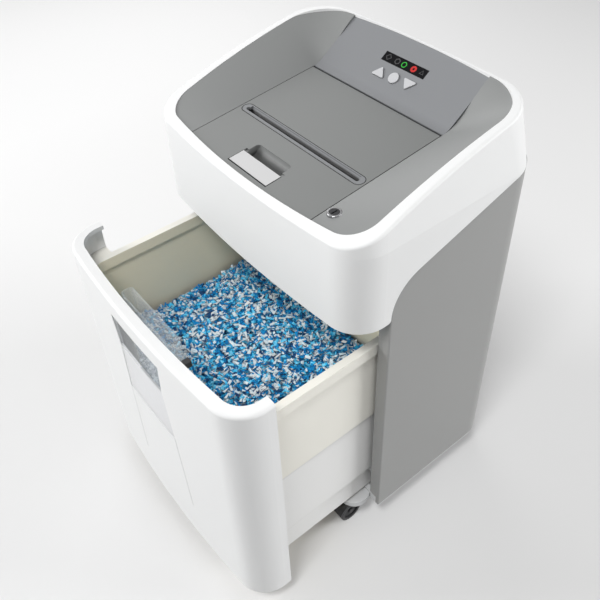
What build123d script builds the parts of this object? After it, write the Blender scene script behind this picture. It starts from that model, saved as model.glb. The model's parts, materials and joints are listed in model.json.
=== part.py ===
"""Office paper shredder: automatic feed tray under a lid, cutter block, pull-out waste drawer.

Millimetres, +Z up, X across the machine, front towards -Y. The origin is on the floor,
under the middle of the machine as it stands with its drawer pulled out.
"""
import os
from math import atan2, cos, degrees, pi, radians, sin, sqrt, tan

from build123d import *

# Cabinet and head, outside
body_width = 430.0
panel_depth = 252.0
front_reach = 68.0
drawer_open = 175.0
floor_gap = 50.0
apron_height = 471.0
shoulder_height = 520.0
shoulder_slope = 17.5
shoulder_round = 60.0
apron_round = 5.0
seam_gap = 0.6
front_bow = 12.0
front_corner = 48.0
rear_corner = 44.0

# Head cover and its rim
shell_wall = 3.0
rim_front_height = 598.0
rim_rear_height = 679.5
rim_crown = 11.5
rim_side_width = 19.5
rim_front_width = 10.0
rim_rear_width = 6.0
rim_bow = 15.0
rim_rear_bow = 9.5
rim_thickness = 5.0
rim_round = 4.0
rim_front_corner = 39.0
rim_rear_corner = 65.0
lean_height = 590.0
lean_inset = 10.0
lean_corner = 72.0
post_radius = 3.5
post_front = 24.0
post_rear = 196.0

# Sheet metal
sheet = 1.5
panel_step = 1.0
flange_width = 19.0
flange_relief_width = 13.0
flange_relief_height = 16.0
rear_return = 64.0
deck_height = 478.0
deck_sheet = 2.5
deck_flange = 14.0

# Lid, latch and feed slot
lid_width = 250.0
lid_rear = 163.0
lid_rear_height = 624.0
lid_slope = 6.3
lid_thickness = 4.0
lid_gap = 1.1
hinge_pin_radius = 2.0
hinge_pin_length = 17.0
slot_width = 228.0
slot_opening = 6.0
slot_from_panel = 36.0
slot_forward = 1.25
throat_border = 4.0
throat_opening = 13.5
throat_flange = 3.0
throat_flange_thickness = 1.6
throat_depth = 12.0
throat_ramp = 4.6
throat_ramp_depth = 7.0
throat_hollow = 0.8
latch_width = 78.0
latch_depth = 23.0
latch_thickness = 2.5
latch_rise = 0.3
latch_from_front = 9.0
latch_gap = 0.8
latch_travel = 5.0
latch_stem = 5.5
latch_stem_width = 16.0
latch_stem_from_front = 8.5
recess_width = 70.0
recess_depth = 22.0
recess_drop = 12.0
recess_round = 6.0
scoop_flat = 12.0
scoop_hollow = 2.0
cup_wall = 2.0

# Sloping surround and control panel
bezel_wall = 3.0
bezel_skirt = 10.0
bezel_drop = 0.5
tab_places = (50.0, 110.0, 165.0)
tab_reach = 8.0
tab_length = 12.0
ledge_width = 5.0
bend_from_lid = 9.0
bend_reach = 6.4
panel_top_drop = 2.0
display_width = 80.0
display_height = 14.5
display_up = 53.5
display_inset = 0.3
console_x = 4.0
button_up = 30.0
button_pitch = 26.0
button_width = 23.0
button_height = 15.0
power_button_radius = 8.0
button_rise = 2.2
button_round = 1.5
button_edge = 0.5
button_flange = 1.2
button_travel = 0.8
button_gap = 0.5
board_width = 118.0
board_length = 52.0
board_drop = 11.0
board_thickness = 1.6
board_up = 40.0
boss_radius = 2.5
switch_width = 7.0
switch_height = 4.0
lock_x = 138.0
lock_from_panel = -24.0
lock_radius = 9.0
lock_length = 24.0
key_radius = 6.5
key_slot_width = 1.6
lock_rise = 2.0

# Paper tray and cutter block
tray_half = 119.0
tray_wall = 2.0
tray_floor_height = 567.5
tray_front = 51.5
tray_rear = 245.5
cut_width = 226.0
plate_thickness = 4.0
plate_reach = 64.0
cutter_height = 530.0
cutter_spacing = 40.0
cutter_radius = 23.0
cutter_core = 16.2
cutter_pitch = 10.0
disc_thickness = 4.6
disc_hooks = 6
hook_depth = 1.8
journal_radius = 8.0
bush_radius = 11.0
comb_thickness = 4.2
comb_gap = 0.8
comb_bar = 5.0
comb_half_height = 12.0
tie_rod_radius = 4.0
tie_rod_out = 57.0
tie_rod_low = 494.0
tie_rod_high = 532.0
roller_out = 24.0
roller_up = 32.0
roller_radius = 11.0
roller_length = 24.0
roller_x = 66.0
roller_shaft = 4.0

# Drive
sync_teeth = 20
drive_teeth = 36
drive_pinion_teeth = 12
drive_module = 2.0
wheel_teeth = 48
motor_teeth = 12
motor_module = 1.5
feed_teeth = 16
feed_module = 1.25
gear_width = 10.0
feed_gear_width = 7.0
gear_gap = 1.2
reduction_angle = 14.0
motor_angle = -21.0
motor_radius = 34.0
motor_length = 104.0
motor_shaft = 4.0
axle_radius = 5.0
running_gap = 0.05

# Waste drawer
drawer_top = 461.0
drawer_bottom = 35.0
drawer_wall = 4.0
lip_width = 16.0
lip_thickness = 7.0
lip_round = 5.0
closing_gap = 1.0
window_top_width = 120.0
window_waist_width = 108.0
window_foot_width = 122.0
window_top = 432.0
window_waist = 378.0
window_foot = 283.0
window_thickness = 2.5
window_inset = 0.6
groove_width = 1.0
groove_depth = 0.7
groove_foot = 122.0
groove_foot_x = 68.0
bin_front = 45.0
bin_depth = 284.0
bin_rim_height = 413.0
bin_shelf = 4.0
bin_rim_skirt = 18.0
bin_rim_half = 194.0
bin_mouth_half = 183.0
bin_upper_half = 189.5
bin_middle_half = 186.5
bin_lower_half = 181.0
bin_step_height = 260.0
bin_ledge_height = 118.0
bin_bottom = 61.0
bin_wall = 2.5
bin_corner = 22.0
shred_height = 281.0
shred_crown = 8.0
shred_thickness = 30.0
soft_gap = 0.3
card_tray_width = 128.0
card_tray_depth = 18.0
card_tray_height = 165.0
card_tray_top = 456.0
card_tray_corner = 6.0
card_tray_wall = 2.0
card_tray_tab = 16.0
card_tray_forward = 2.0
notch_gap = 2.0
clip_x = 94.0
clip_width = 8.0
clip_height = 6.0
clip_reach = 12.0
runner_leg = 40.0
runner_gap = 0.3
runner_clearance = 1.0
runner_length = 196.0

# Base, casters and mains inlet
base_bottom = 44.0
base_height = 14.0
base_wall = 4.0
lobe_radius = 26.0
lobe_height = 10.0
caster_x = 170.0
caster_front = -12.0
caster_rear = 214.0
caster_trail = 16.0
wheel_radius = 20.0
wheel_width = 9.0
wheel_spacing = 8.0
caster_stem = 5.0
stem_length = 8.0
neck_radius = 9.0
hood_gap = 0.8
hood_wall = 2.2
axle_pin = 3.0
inlet_x = -105.0
inlet_height = 530.0
inlet_width = 48.0
inlet_tall = 28.0
inlet_depth = 26.0
socket_width = 30.0
socket_tall = 20.0
socket_depth = 17.0
blade_thickness = 2.5
rocker_x = -58.0
rocker_width = 13.0
rocker_tall = 19.0
rocker_wall = 3.0
rocker_pin = 1.5
rocker_rise = 0.6
screw_radius = 3.5
screw_head = 1.4
screw_edge = 12.0

# Places worked out from the sizes above
panel_front = (front_reach + drawer_open - panel_depth) / 2
panel_back = panel_front + panel_depth
head_front = panel_front - front_reach
half_width = body_width / 2
panel_half = half_width - panel_step
panel_inner = panel_half - sheet
panel_corner = rear_corner - panel_step
rim_half = half_width - rim_side_width
rim_front = head_front + rim_front_width
rim_rear = panel_back - rim_rear_width
back_face = panel_back - sheet
drawer_datum = panel_front - drawer_open
nip_y = panel_front + slot_from_panel
deck_top = deck_height + deck_sheet
plate_inner = tray_half - tray_wall
plate_outer = plate_inner + plate_thickness
tray_top_of_floor = tray_floor_height + tray_wall
lid_y = panel_front + lid_rear
lid_half = lid_width / 2
slope = radians(lid_slope)
lid_plane = Plane(origin=(0, lid_y, lid_rear_height), x_dir=(1, 0, 0), z_dir=(0, -sin(slope), cos(slope)))
hinge_axis = lid_plane.from_local_coords(Vector(0, -lid_thickness, -lid_thickness))
throat_y = (slot_from_panel - lid_rear) / cos(slope)
throat_width = slot_width + 2 * throat_border
throat_length = throat_width + 2 * throat_flange
rim_chord = Vector(panel_back - head_front, rim_rear_height - rim_front_height)
rim_tilt = atan2(rim_chord.Y, rim_chord.X)
rim_radius = (rim_chord.length ** 2 / 4 + rim_crown ** 2) / (2 * rim_crown)
rim_centre_y = (head_front + panel_back) / 2 + (rim_radius - rim_crown) * sin(rim_tilt)
rim_centre_z = (rim_front_height + rim_rear_height) / 2 - (rim_radius - rim_crown) * cos(rim_tilt)
bend_y = lid_y + bend_from_lid
front_axis = nip_y - cutter_spacing / 2
rear_axis = nip_y + cutter_spacing / 2
cutter_count = int((cut_width - disc_thickness) / cutter_pitch)
disc_span = (cutter_count - 1) * cutter_pitch

os.makedirs("parts", exist_ok=True)


def rim_height(y):
    """Height of the crowned rim of the head at a place along Y."""
    return rim_centre_z + sqrt(rim_radius ** 2 - (y - rim_centre_y) ** 2)


def lid_height(y):
    """Height of the lid's plane at a place along Y."""
    return lid_rear_height + (y - lid_y) * tan(slope)


panel_top_y = rim_rear - lid_gap / 2
panel_top_z = rim_height(panel_top_y) - panel_top_drop
panel_rise = atan2(panel_top_z - lid_height(bend_y), panel_top_y - bend_y)
console_plane = Plane(
    origin=(0, bend_y, lid_height(bend_y)), x_dir=(1, 0, 0), z_dir=(0, -sin(panel_rise), cos(panel_rise))
)


def foot_height(y):
    """Height of the surround's inner edge, beside the lid and then beside the control panel."""
    if y <= bend_y:
        return lid_height(y)
    return lid_height(bend_y) + (y - bend_y) * tan(panel_rise)


def plan_outline(half, front, rear, bow, front_round, rear_round, mode=Mode.ADD, rear_bow=0):
    """Plan outline with a bowed front and rear, joined to the sketch in use or cut from it."""
    front_side = front + bow
    rear_side = rear - rear_bow
    with BuildSketch(mode=Mode.PRIVATE) as outline:
        with BuildLine():
            Line((-half, front_side), (-half, rear_side))
            if rear_bow:
                ThreePointArc((-half, rear_side), (0, rear), (half, rear_side))
            else:
                Line((-half, rear), (half, rear))
            Line((half, rear_side), (half, front_side))
            if bow:
                ThreePointArc((half, front_side), (0, front), (-half, front_side))
            else:
                Line((half, front), (-half, front))
        make_face()
        if front_round:
            fillet(outline.vertices().group_by(Axis.Y)[0], front_round)
        if rear_round:
            fillet(outline.vertices().group_by(Axis.Y)[-1], rear_round)
    add(outline.sketch, mode=mode)


def head_outline(inset):
    """Outline of the head, drawn in by an inset."""
    plan_outline(
        half_width - inset, head_front + inset, panel_back - inset, front_bow,
        front_corner - inset, rear_corner - inset
    )


def leaning_outline(inset):
    """Outline of the head above its rim, where its sides have leaned in."""
    plan_outline(
        half_width - lean_inset - inset, head_front + inset, panel_back - inset, front_bow,
        front_corner - inset, lean_corner - inset, Mode.ADD, rim_rear_bow
    )


def rim_outline(inset):
    """Outline of the opening inside the head's rim, drawn in by an inset."""
    plan_outline(
        rim_half - inset, rim_front + inset, rim_rear - inset, rim_bow,
        rim_front_corner - inset, rim_rear_corner - inset, Mode.ADD, rim_rear_bow
    )


def drawer_outline(inset, mode=Mode.ADD):
    """Outline of the drawer front, straight across its back."""
    plan_outline(
        half_width - inset, drawer_datum - front_reach + inset, drawer_datum - closing_gap,
        front_bow, front_corner - inset, 0, mode
    )


def inner_outline(inset):
    """Outline of a plate that fits between the side panels and the back panel."""
    plan_outline(
        panel_inner - inset, panel_front + 2 * sheet + inset, back_face - sheet - inset, 0, 0,
        panel_corner - sheet - inset
    )


def rounded_outline(corners):
    """Closed outline through corners, each given with its own round."""
    with BuildSketch(mode=Mode.PRIVATE) as outline:
        with BuildLine():
            Polyline(*[(u, v) for u, v, _ in corners], close=True)
        make_face()
        for u, v, corner_round in corners:
            if corner_round:
                fillet(outline.vertices().sort_by_distance((u, v, 0))[0], corner_round)
    add(outline.sketch)


def shoulder_region(gap):
    """Side view of all that lies above the S-shaped seam between head and side panels."""
    front = head_front - front_corner
    rear = panel_back + front_corner
    top = rim_rear_height + front_corner
    seam_y = panel_front - gap
    rounded_outline([
        (front, apron_height, 0), (seam_y, apron_height, apron_round),
        (seam_y, shoulder_height + gap, shoulder_round),
        (rear, shoulder_height + gap + (rear - panel_front) * tan(radians(shoulder_slope)), 0),
        (rear, top, 0), (front, top, 0),
    ])


def under_rim(drop):
    """Side view of all that lies below the crowned rim, lowered by a drop."""
    front = head_front - front_corner
    rear = panel_back + front_corner
    middle = (front + rear) / 2
    with BuildSketch(mode=Mode.PRIVATE) as region:
        with BuildLine():
            ThreePointArc(
                (front, rim_height(front) - drop), (middle, rim_height(middle) - drop),
                (rear, rim_height(rear) - drop)
            )
            Polyline(
                (rear, rim_height(rear) - drop), (rear, 0), (front, 0), (front, rim_height(front) - drop)
            )
        make_face()
    add(region.sketch)


def polar_outline(centre, corners):
    """Closed outline through corners given as radius and angle about a centre."""
    with BuildSketch(mode=Mode.PRIVATE) as outline:
        with BuildLine():
            Polyline(
                *[
                    (centre[0] + radius * cos(angle), centre[1] + radius * sin(angle))
                    for radius, angle in corners
                ],
                close=True,
            )
        make_face()
    add(outline.sketch)


def gear_outline(centre, teeth, module, toward):
    """Gear with straight-flanked teeth, one of them centred on the angle given in degrees."""
    corners = []
    for tooth in range(teeth):
        middle = radians(toward) + 2 * pi * tooth / teeth
        for reach, width, side in ((-1.15, 0.62, -1), (0.85, 0.2, -1), (0.85, 0.2, 1), (-1.15, 0.62, 1)):
            radius = teeth * module / 2 + reach * module
            corners.append((radius, middle + side * width * pi * module / (2 * radius)))
    polar_outline(centre, corners)


def disc_outline(centre, turn):
    """Cutter disc with hooked edges, turned by an angle in degrees."""
    corners = []
    for hook in range(disc_hooks):
        for share, radius in ((0, cutter_radius), (0.08, cutter_radius - hook_depth), (0.55, cutter_radius)):
            corners.append((radius, radians(turn) + 2 * pi * (hook + share) / disc_hooks))
    polar_outline(centre, corners)


def across(x):
    """Plane square to X, with Y to its right and Z up."""
    return Plane.YZ.offset(x)


def finish(piece, name):
    """Label a finished piece and write it as its own node."""
    piece.part.label = name
    export_step(piece.part, f"parts/{name}.step")


# Head cover: upright sides that lean in towards the crowned rim
def head_block(foot, inset, drop):
    """Solid head from a foot height up to the crown of its rim, drawn in by an inset."""
    with BuildPart() as block:
        with BuildSketch(Plane.XY.offset(foot)):
            head_outline(inset)
        extrude(amount=lean_height - foot)
        with BuildSketch(Plane.XY.offset(lean_height)):
            head_outline(inset)
        with BuildSketch(Plane.XY.offset(rim_rear_height + rim_crown)):
            leaning_outline(inset)
        loft(ruled=True)
        with BuildSketch(across(0)):
            under_rim(drop)
        extrude(amount=half_width, both=True, mode=Mode.INTERSECT)
    return block


with BuildPart() as head_cover:
    add(head_block(apron_height, 0, 0).part)
    with BuildSketch(across(0)):
        shoulder_region(seam_gap)
    extrude(amount=half_width, both=True, mode=Mode.INTERSECT)
    crown = head_cover.faces().filter_by(lambda face: face.normal_at().Z > 0.8).sort_by(SortBy.AREA)[-1]
    fillet(crown.edges(), rim_round)
    add(head_block(apron_height - front_corner, shell_wall, rim_thickness).part, mode=Mode.SUBTRACT)
    with BuildSketch(Plane.XY.offset(apron_height)):
        rim_outline(0)
    extrude(amount=rim_rear_height, mode=Mode.SUBTRACT)
    for y in (panel_front + post_front, panel_front + post_rear):
        post_x = rim_half + post_radius + 2 * soft_gap
        with BuildSketch(Plane.XY.offset(deck_top)):
            with Locations((-post_x, y), (post_x, y)):
                Circle(post_radius)
        extrude(amount=rim_height(y) - rim_thickness / 2 - deck_top)
finish(head_cover, "head_cover")


# Sheet metal side panels, each with a folded front flange and a rounded rear corner
with BuildPart() as right_side_panel:
    with BuildSketch(Plane.XY.offset(floor_gap)):
        plan_outline(panel_half, panel_front, panel_back, 0, sheet * 1.5, panel_corner)
        plan_outline(
            panel_inner, panel_front + sheet, panel_back - sheet, 0, sheet / 2, panel_corner - sheet,
            Mode.SUBTRACT
        )
        with Locations((-rear_return, (panel_front + panel_back) / 2)):
            Rectangle(2 * panel_half, 2 * panel_depth, mode=Mode.SUBTRACT)
        with Locations((panel_half - flange_width, panel_front)):
            Rectangle(2 * panel_half, 4 * sheet, align=(Align.MAX, Align.CENTER), mode=Mode.SUBTRACT)
    extrude(amount=rim_rear_height - floor_gap)
    with BuildSketch(across(0)):
        shoulder_region(0)
    extrude(amount=body_width, mode=Mode.SUBTRACT)
    with Locations((panel_half - flange_width, panel_front, floor_gap)):
        Box(2 * flange_relief_width, 4 * sheet, 2 * flange_relief_height, mode=Mode.SUBTRACT)
finish(right_side_panel, "right_side_panel")

with BuildPart() as left_side_panel:
    mirror(right_side_panel.part, about=Plane.YZ)
finish(left_side_panel, "left_side_panel")

# Back panel with louvre slots beside the motor and openings for the inlet and the mains switch
back_half = panel_half - rear_return - seam_gap
back_top = shoulder_height + panel_depth * tan(radians(shoulder_slope)) - 2 * sheet
back_plane = Plane.XZ.offset(-back_face)
with BuildPart() as back_panel:
    with BuildSketch(back_plane):
        with Locations((0, floor_gap)):
            Rectangle(
                2 * (back_half + 3 * flange_width / 4), back_top - floor_gap, align=(Align.CENTER, Align.MIN)
            )
    extrude(amount=sheet)
    with BuildSketch(back_plane):
        with Locations((inlet_x, inlet_height)):
            Rectangle(inlet_width, inlet_tall)
        with Locations((rocker_x, inlet_height)):
            Rectangle(rocker_width + 2 * rocker_wall, rocker_tall + 2 * rocker_wall)
        with Locations((back_half / 2, inlet_height)):
            with GridLocations(14, 0, 7, 1):
                SlotOverall(44, 5, rotation=90)
    extrude(amount=sheet, mode=Mode.SUBTRACT)
finish(back_panel, "back_panel")

# Base frame: shallow moulded tray with a lobe and a stem socket over each caster
caster_places = [
    ("front_left", -caster_x, panel_front + caster_front, -1),
    ("front_right", caster_x, panel_front + caster_front, -1),
    ("rear_left", -caster_x, panel_front + caster_rear, 1),
    ("rear_right", caster_x, panel_front + caster_rear, 1),
]
with BuildPart() as base_frame:
    with BuildSketch(Plane.XY.offset(base_bottom)):
        inner_outline(0)
    extrude(amount=base_height)
    with BuildSketch(Plane.XY.offset(base_bottom + base_wall)):
        inner_outline(2 * base_wall)
    extrude(amount=base_height, mode=Mode.SUBTRACT)
    for _, x, y, _ in caster_places:
        with BuildSketch(Plane.XY.offset(base_bottom)):
            with Locations((x, y)):
                Circle(lobe_radius)
        extrude(amount=lobe_height)
    for _, x, y, _ in caster_places:
        with BuildSketch(Plane.XY.offset(base_bottom)):
            with Locations((x, y)):
                Circle(caster_stem + running_gap)
        extrude(amount=stem_length + soft_gap, mode=Mode.SUBTRACT)
finish(base_frame, "base_frame")


# Casters: a hooded swivel body with its stem and axle, and a pair of wheels
def caster_body(x, y, trail):
    wheel_y = y + trail * caster_trail
    neck_top = base_bottom - soft_gap
    neck_foot = 2 * wheel_radius + hood_gap
    hood_width = wheel_spacing + 2 * wheel_width
    with BuildPart() as body:
        with BuildSketch(Plane.XY.offset(neck_foot)):
            with Locations((x, y)):
                Circle(neck_radius)
        extrude(amount=neck_top - neck_foot)
        with BuildSketch(Plane.XY.offset(neck_top)):
            with Locations((x, y)):
                Circle(caster_stem)
        extrude(amount=stem_length + soft_gap)
        with BuildSketch(across(x - wheel_spacing / 2 + soft_gap)):
            with Locations((wheel_y, wheel_radius)):
                Circle(wheel_radius * 0.8)
            with Locations(((y + wheel_y) / 2, wheel_radius)):
                Rectangle(
                    caster_trail + 2 * caster_stem, neck_top - wheel_radius, align=(Align.CENTER, Align.MIN)
                )
        extrude(amount=wheel_spacing - 2 * soft_gap)
        with BuildSketch(across(x - hood_width / 2)):
            with Locations((wheel_y, wheel_radius)):
                Circle(wheel_radius + hood_gap + hood_wall)
                Circle(wheel_radius + hood_gap, mode=Mode.SUBTRACT)
            with Locations((wheel_y, 1.2 * wheel_radius)):
                Rectangle(
                    4 * wheel_radius, 4 * wheel_radius, align=(Align.CENTER, Align.MAX), mode=Mode.SUBTRACT
                )
            with Locations((wheel_y, wheel_radius)):
                Circle(axle_pin)
        extrude(amount=hood_width)
    return body


def caster_wheels(x, y, trail):
    wheel_y = y + trail * caster_trail
    with BuildPart() as wheels:
        for side in (-1, 1):
            inner = x + side * wheel_spacing / 2
            outer = inner + side * wheel_width
            with BuildSketch(across(min(inner, outer))):
                with Locations((wheel_y, wheel_radius)):
                    Circle(wheel_radius)
                    Circle(axle_pin + running_gap, mode=Mode.SUBTRACT)
            extrude(amount=wheel_width)
            with BuildSketch(across(outer)):
                with Locations((wheel_y, wheel_radius)):
                    Circle(wheel_radius * 0.72)
                    Circle(axle_pin + 2, mode=Mode.SUBTRACT)
            extrude(amount=-side * wheel_width / 3, mode=Mode.SUBTRACT)
        circles = wheels.edges().filter_by(GeomType.CIRCLE)
        fillet(circles.filter_by(lambda edge: edge.radius > wheel_radius - running_gap), wheel_width / 5)
    return wheels


for place, x, y, trail in caster_places:
    finish(caster_body(x, y, trail), f"{place}_caster_body")
    finish(caster_wheels(x, y, trail), f"{place}_caster_wheels")


# Deck plate under the cutters, with a chute opening and folded edges along the side panels
with BuildPart() as deck_plate:
    with BuildSketch(Plane.XY.offset(deck_height)):
        inner_outline(0)
        with Locations((0, nip_y)):
            Rectangle(2 * (plate_inner - deck_sheet), 2 * (plate_reach - bush_radius), mode=Mode.SUBTRACT)
    extrude(amount=deck_sheet)
    with BuildSketch(Plane.XY.offset(deck_top)):
        for side in (-1, 1):
            with Locations((side * (panel_inner - deck_sheet / 2), panel_front + panel_depth / 2)):
                Rectangle(deck_sheet, panel_depth / 2)
    extrude(amount=deck_flange)
finish(deck_plate, "deck_plate")

# Cutter side plates: the right one also carries the reduction axle and the motor
reduction_reach = (drive_teeth + drive_pinion_teeth) * drive_module / 2
reduction_y = rear_axis + reduction_reach * cos(radians(reduction_angle))
reduction_z = cutter_height + reduction_reach * sin(radians(reduction_angle))
motor_reach = (wheel_teeth + motor_teeth) * motor_module / 2
motor_y = reduction_y + motor_reach * cos(radians(motor_angle))
motor_z = reduction_z + motor_reach * sin(radians(motor_angle))
roller_z = cutter_height + roller_up
front_roller_y = front_axis - roller_out
rear_roller_y = rear_axis + roller_out
front_idler_y = front_axis - roller_out / 2
rear_idler_y = rear_axis + roller_out / 2
idler_z = cutter_height + roller_up / 2
tie_rods = [
    (nip_y + side * tie_rod_out, height) for side in (-1, 1) for height in (tie_rod_low, tie_rod_high)
]


def cutter_plate(x, rear_reach):
    """Upright plate that stands on the deck and holds the bushes, rollers and tie rods."""
    with BuildPart() as plate:
        with BuildSketch(across(x)):
            with Locations((nip_y - plate_reach, deck_top)):
                Rectangle(
                    plate_reach + rear_reach, tray_floor_height - deck_top, align=(Align.MIN, Align.MIN)
                )
            with Locations((front_axis, cutter_height), (rear_axis, cutter_height)):
                Circle(bush_radius, mode=Mode.SUBTRACT)
            with Locations((front_roller_y, roller_z), (rear_roller_y, roller_z)):
                Circle(roller_shaft + running_gap, mode=Mode.SUBTRACT)
            with Locations(*tie_rods):
                Circle(tie_rod_radius, mode=Mode.SUBTRACT)
            if rear_reach > plate_reach:
                with Locations((reduction_y, reduction_z)):
                    Circle(axle_radius, mode=Mode.SUBTRACT)
                with Locations((motor_y, motor_z)):
                    Circle(bush_radius, mode=Mode.SUBTRACT)
            else:
                with Locations((front_idler_y, idler_z), (rear_idler_y, idler_z)):
                    Circle(roller_shaft, mode=Mode.SUBTRACT)
        extrude(amount=plate_thickness)
    return plate


motor_plate_reach = motor_y - nip_y + motor_radius + plate_thickness
finish(cutter_plate(-plate_outer, plate_reach), "left_cutter_plate")
finish(cutter_plate(plate_inner, motor_plate_reach), "right_cutter_plate")

with BuildPart() as tie_rod_set:
    with BuildSketch(across(-plate_outer)):
        with Locations(*tie_rods):
            Circle(tie_rod_radius)
    extrude(amount=2 * plate_outer)
finish(tie_rod_set, "tie_rods")

with BuildPart() as shaft_bushes:
    for x in (-plate_outer, plate_inner):
        with BuildSketch(across(x)):
            with Locations((front_axis, cutter_height), (rear_axis, cutter_height)):
                Circle(bush_radius)
                Circle(journal_radius + running_gap, mode=Mode.SUBTRACT)
        extrude(amount=plate_thickness)
finish(shaft_bushes, "shaft_bushes")

# Axles that the reduction wheel and the feed idlers turn on
sync_start = plate_outer + gear_gap
drive_start = sync_start + gear_width + gear_gap
wheel_start = drive_start + gear_width + gear_gap
axle_end = wheel_start + feed_gear_width + gear_gap
feed_start = -plate_outer - gear_gap - feed_gear_width
with BuildPart() as gear_axles:
    with BuildSketch(across(plate_inner)):
        with Locations((reduction_y, reduction_z)):
            Circle(axle_radius)
    extrude(amount=axle_end - plate_inner)
    with BuildSketch(across(feed_start - gear_gap)):
        with Locations((front_idler_y, idler_z), (rear_idler_y, idler_z)):
            Circle(roller_shaft)
    extrude(amount=-plate_inner - feed_start + gear_gap)
finish(gear_axles, "gear_axles")


# Cutter shafts: hooked discs in a row, journals, and the gears at their ends
def cutter_shaft(axis_y, shift, toward_other, with_drive):
    with BuildPart() as shaft:
        with BuildSketch(across(-plate_inner + gear_gap)):
            with Locations((axis_y, cutter_height)):
                Circle(cutter_core)
        extrude(amount=2 * (plate_inner - gear_gap))
        for disc in range(cutter_count):
            disc_x = -disc_span / 2 + disc * cutter_pitch + shift - disc_thickness / 2
            with BuildSketch(across(disc_x)):
                disc_outline((axis_y, cutter_height), 360 / disc_hooks / 4 * (disc % 4))
            extrude(amount=disc_thickness)
        journal_start = feed_start
        journal_end = (drive_start if with_drive else sync_start) + gear_width
        with BuildSketch(across(journal_start)):
            with Locations((axis_y, cutter_height)):
                Circle(journal_radius)
        extrude(amount=journal_end - journal_start)
        with BuildSketch(across(sync_start)):
            gear_outline((axis_y, cutter_height), sync_teeth, drive_module, toward_other)
        extrude(amount=gear_width)
        if with_drive:
            with BuildSketch(across(drive_start)):
                gear_outline((axis_y, cutter_height), drive_teeth, drive_module, reduction_angle)
            extrude(amount=gear_width)
        feed_angle = degrees(atan2(roller_up, roller_out if axis_y > nip_y else -roller_out))
        with BuildSketch(across(feed_start)):
            gear_outline((axis_y, cutter_height), feed_teeth, feed_module, feed_angle + 180 / feed_teeth)
        extrude(amount=feed_gear_width)
    return shaft


finish(cutter_shaft(front_axis, 0, 0, False), "front_cutter")
finish(cutter_shaft(rear_axis, cutter_pitch / 2, 180 + 180 / sync_teeth, True), "rear_cutter")


# Stripper combs: a bar behind each shaft, with a finger in every gap between the discs
def stripper_comb(axis_y, shift, away):
    bar_near = cutter_radius + comb_gap
    with BuildPart() as comb:
        with BuildSketch(across(-plate_inner)):
            with Locations((axis_y + away * (bar_near + comb_bar / 2), cutter_height)):
                Rectangle(comb_bar, 2 * comb_half_height)
        extrude(amount=2 * plate_inner)
        for gap in range(cutter_count - 1):
            gap_x = -disc_span / 2 + (gap + 0.5) * cutter_pitch + shift - comb_thickness / 2
            with BuildSketch(across(gap_x)):
                with Locations((axis_y + away * bar_near, cutter_height)):
                    Rectangle(
                        bar_near * 0.8, 1.6 * comb_half_height,
                        align=(Align.MIN if away < 0 else Align.MAX, Align.CENTER)
                    )
                with Locations((axis_y, cutter_height)):
                    Circle(cutter_core + comb_gap, mode=Mode.SUBTRACT)
            extrude(amount=comb_thickness)
    return comb


finish(stripper_comb(front_axis, 0, -1), "front_stripper_comb")
finish(stripper_comb(rear_axis, cutter_pitch / 2, 1), "rear_stripper_comb")


# Feed rollers under the paper tray, and the idlers that drive them
def feed_roller(axis_y, toward_idler):
    with BuildPart() as roller:
        with BuildSketch(across(feed_start)):
            with Locations((axis_y, roller_z)):
                Circle(roller_shaft)
        extrude(amount=plate_outer - feed_start)
        for x in (-roller_x, roller_x):
            with BuildSketch(across(x - roller_length / 2)):
                with Locations((axis_y, roller_z)):
                    Circle(roller_radius)
            extrude(amount=roller_length)
        with BuildSketch(across(feed_start)):
            gear_outline((axis_y, roller_z), feed_teeth, feed_module, toward_idler + 180 / feed_teeth)
        extrude(amount=feed_gear_width)
    return roller


def feed_idler(axis_y, along):
    with BuildPart() as idler:
        with BuildSketch(across(feed_start)):
            gear_outline((axis_y, idler_z), feed_teeth, feed_module, along)
            with Locations((axis_y, idler_z)):
                Circle(roller_shaft + running_gap, mode=Mode.SUBTRACT)
        extrude(amount=feed_gear_width)
    return idler


for place, roller_y, idler_y, lean in (
    ("front", front_roller_y, front_idler_y, degrees(atan2(roller_up, -roller_out))),
    ("rear", rear_roller_y, rear_idler_y, degrees(atan2(roller_up, roller_out))),
):
    finish(feed_roller(roller_y, lean + 180), f"{place}_feed_roller")
    finish(feed_idler(idler_y, lean), f"{place}_feed_idler")

# Reduction wheel with its pinion, turning on a fixed axle
with BuildPart() as reduction_gear:
    with BuildSketch(across(sync_start)):
        with Locations((reduction_y, reduction_z)):
            Circle(axle_radius + 3)
    extrude(amount=drive_start - sync_start)
    with BuildSketch(across(drive_start)):
        gear_outline(
            (reduction_y, reduction_z), drive_pinion_teeth, drive_module,
            reduction_angle + 180 + 180 / drive_pinion_teeth
        )
    extrude(amount=wheel_start - drive_start)
    with BuildSketch(across(wheel_start)):
        gear_outline((reduction_y, reduction_z), wheel_teeth, motor_module, motor_angle)
    extrude(amount=feed_gear_width)
    with BuildSketch(across(sync_start)):
        with Locations((reduction_y, reduction_z)):
            Circle(axle_radius + running_gap)
    extrude(amount=axle_end, mode=Mode.SUBTRACT)
finish(reduction_gear, "reduction_gear")

# Motor on the inside of the right plate, and its shaft with the pinion
with BuildPart() as motor:
    with BuildSketch(across(plate_inner - motor_length)):
        with Locations((motor_y, motor_z)):
            Circle(motor_radius)
    extrude(amount=motor_length)
    fillet(motor.edges().filter_by(GeomType.CIRCLE).sort_by(Axis.X)[0], motor_radius / 6)
    with BuildSketch(across(plate_inner)):
        with Locations((motor_y, motor_z)):
            Circle(bush_radius)
    extrude(amount=plate_thickness)
    with BuildSketch(across(plate_outer)):
        with Locations((motor_y, motor_z)):
            Circle(motor_shaft + running_gap)
    extrude(amount=-motor_length / 2, mode=Mode.SUBTRACT)
finish(motor, "motor")

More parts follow.
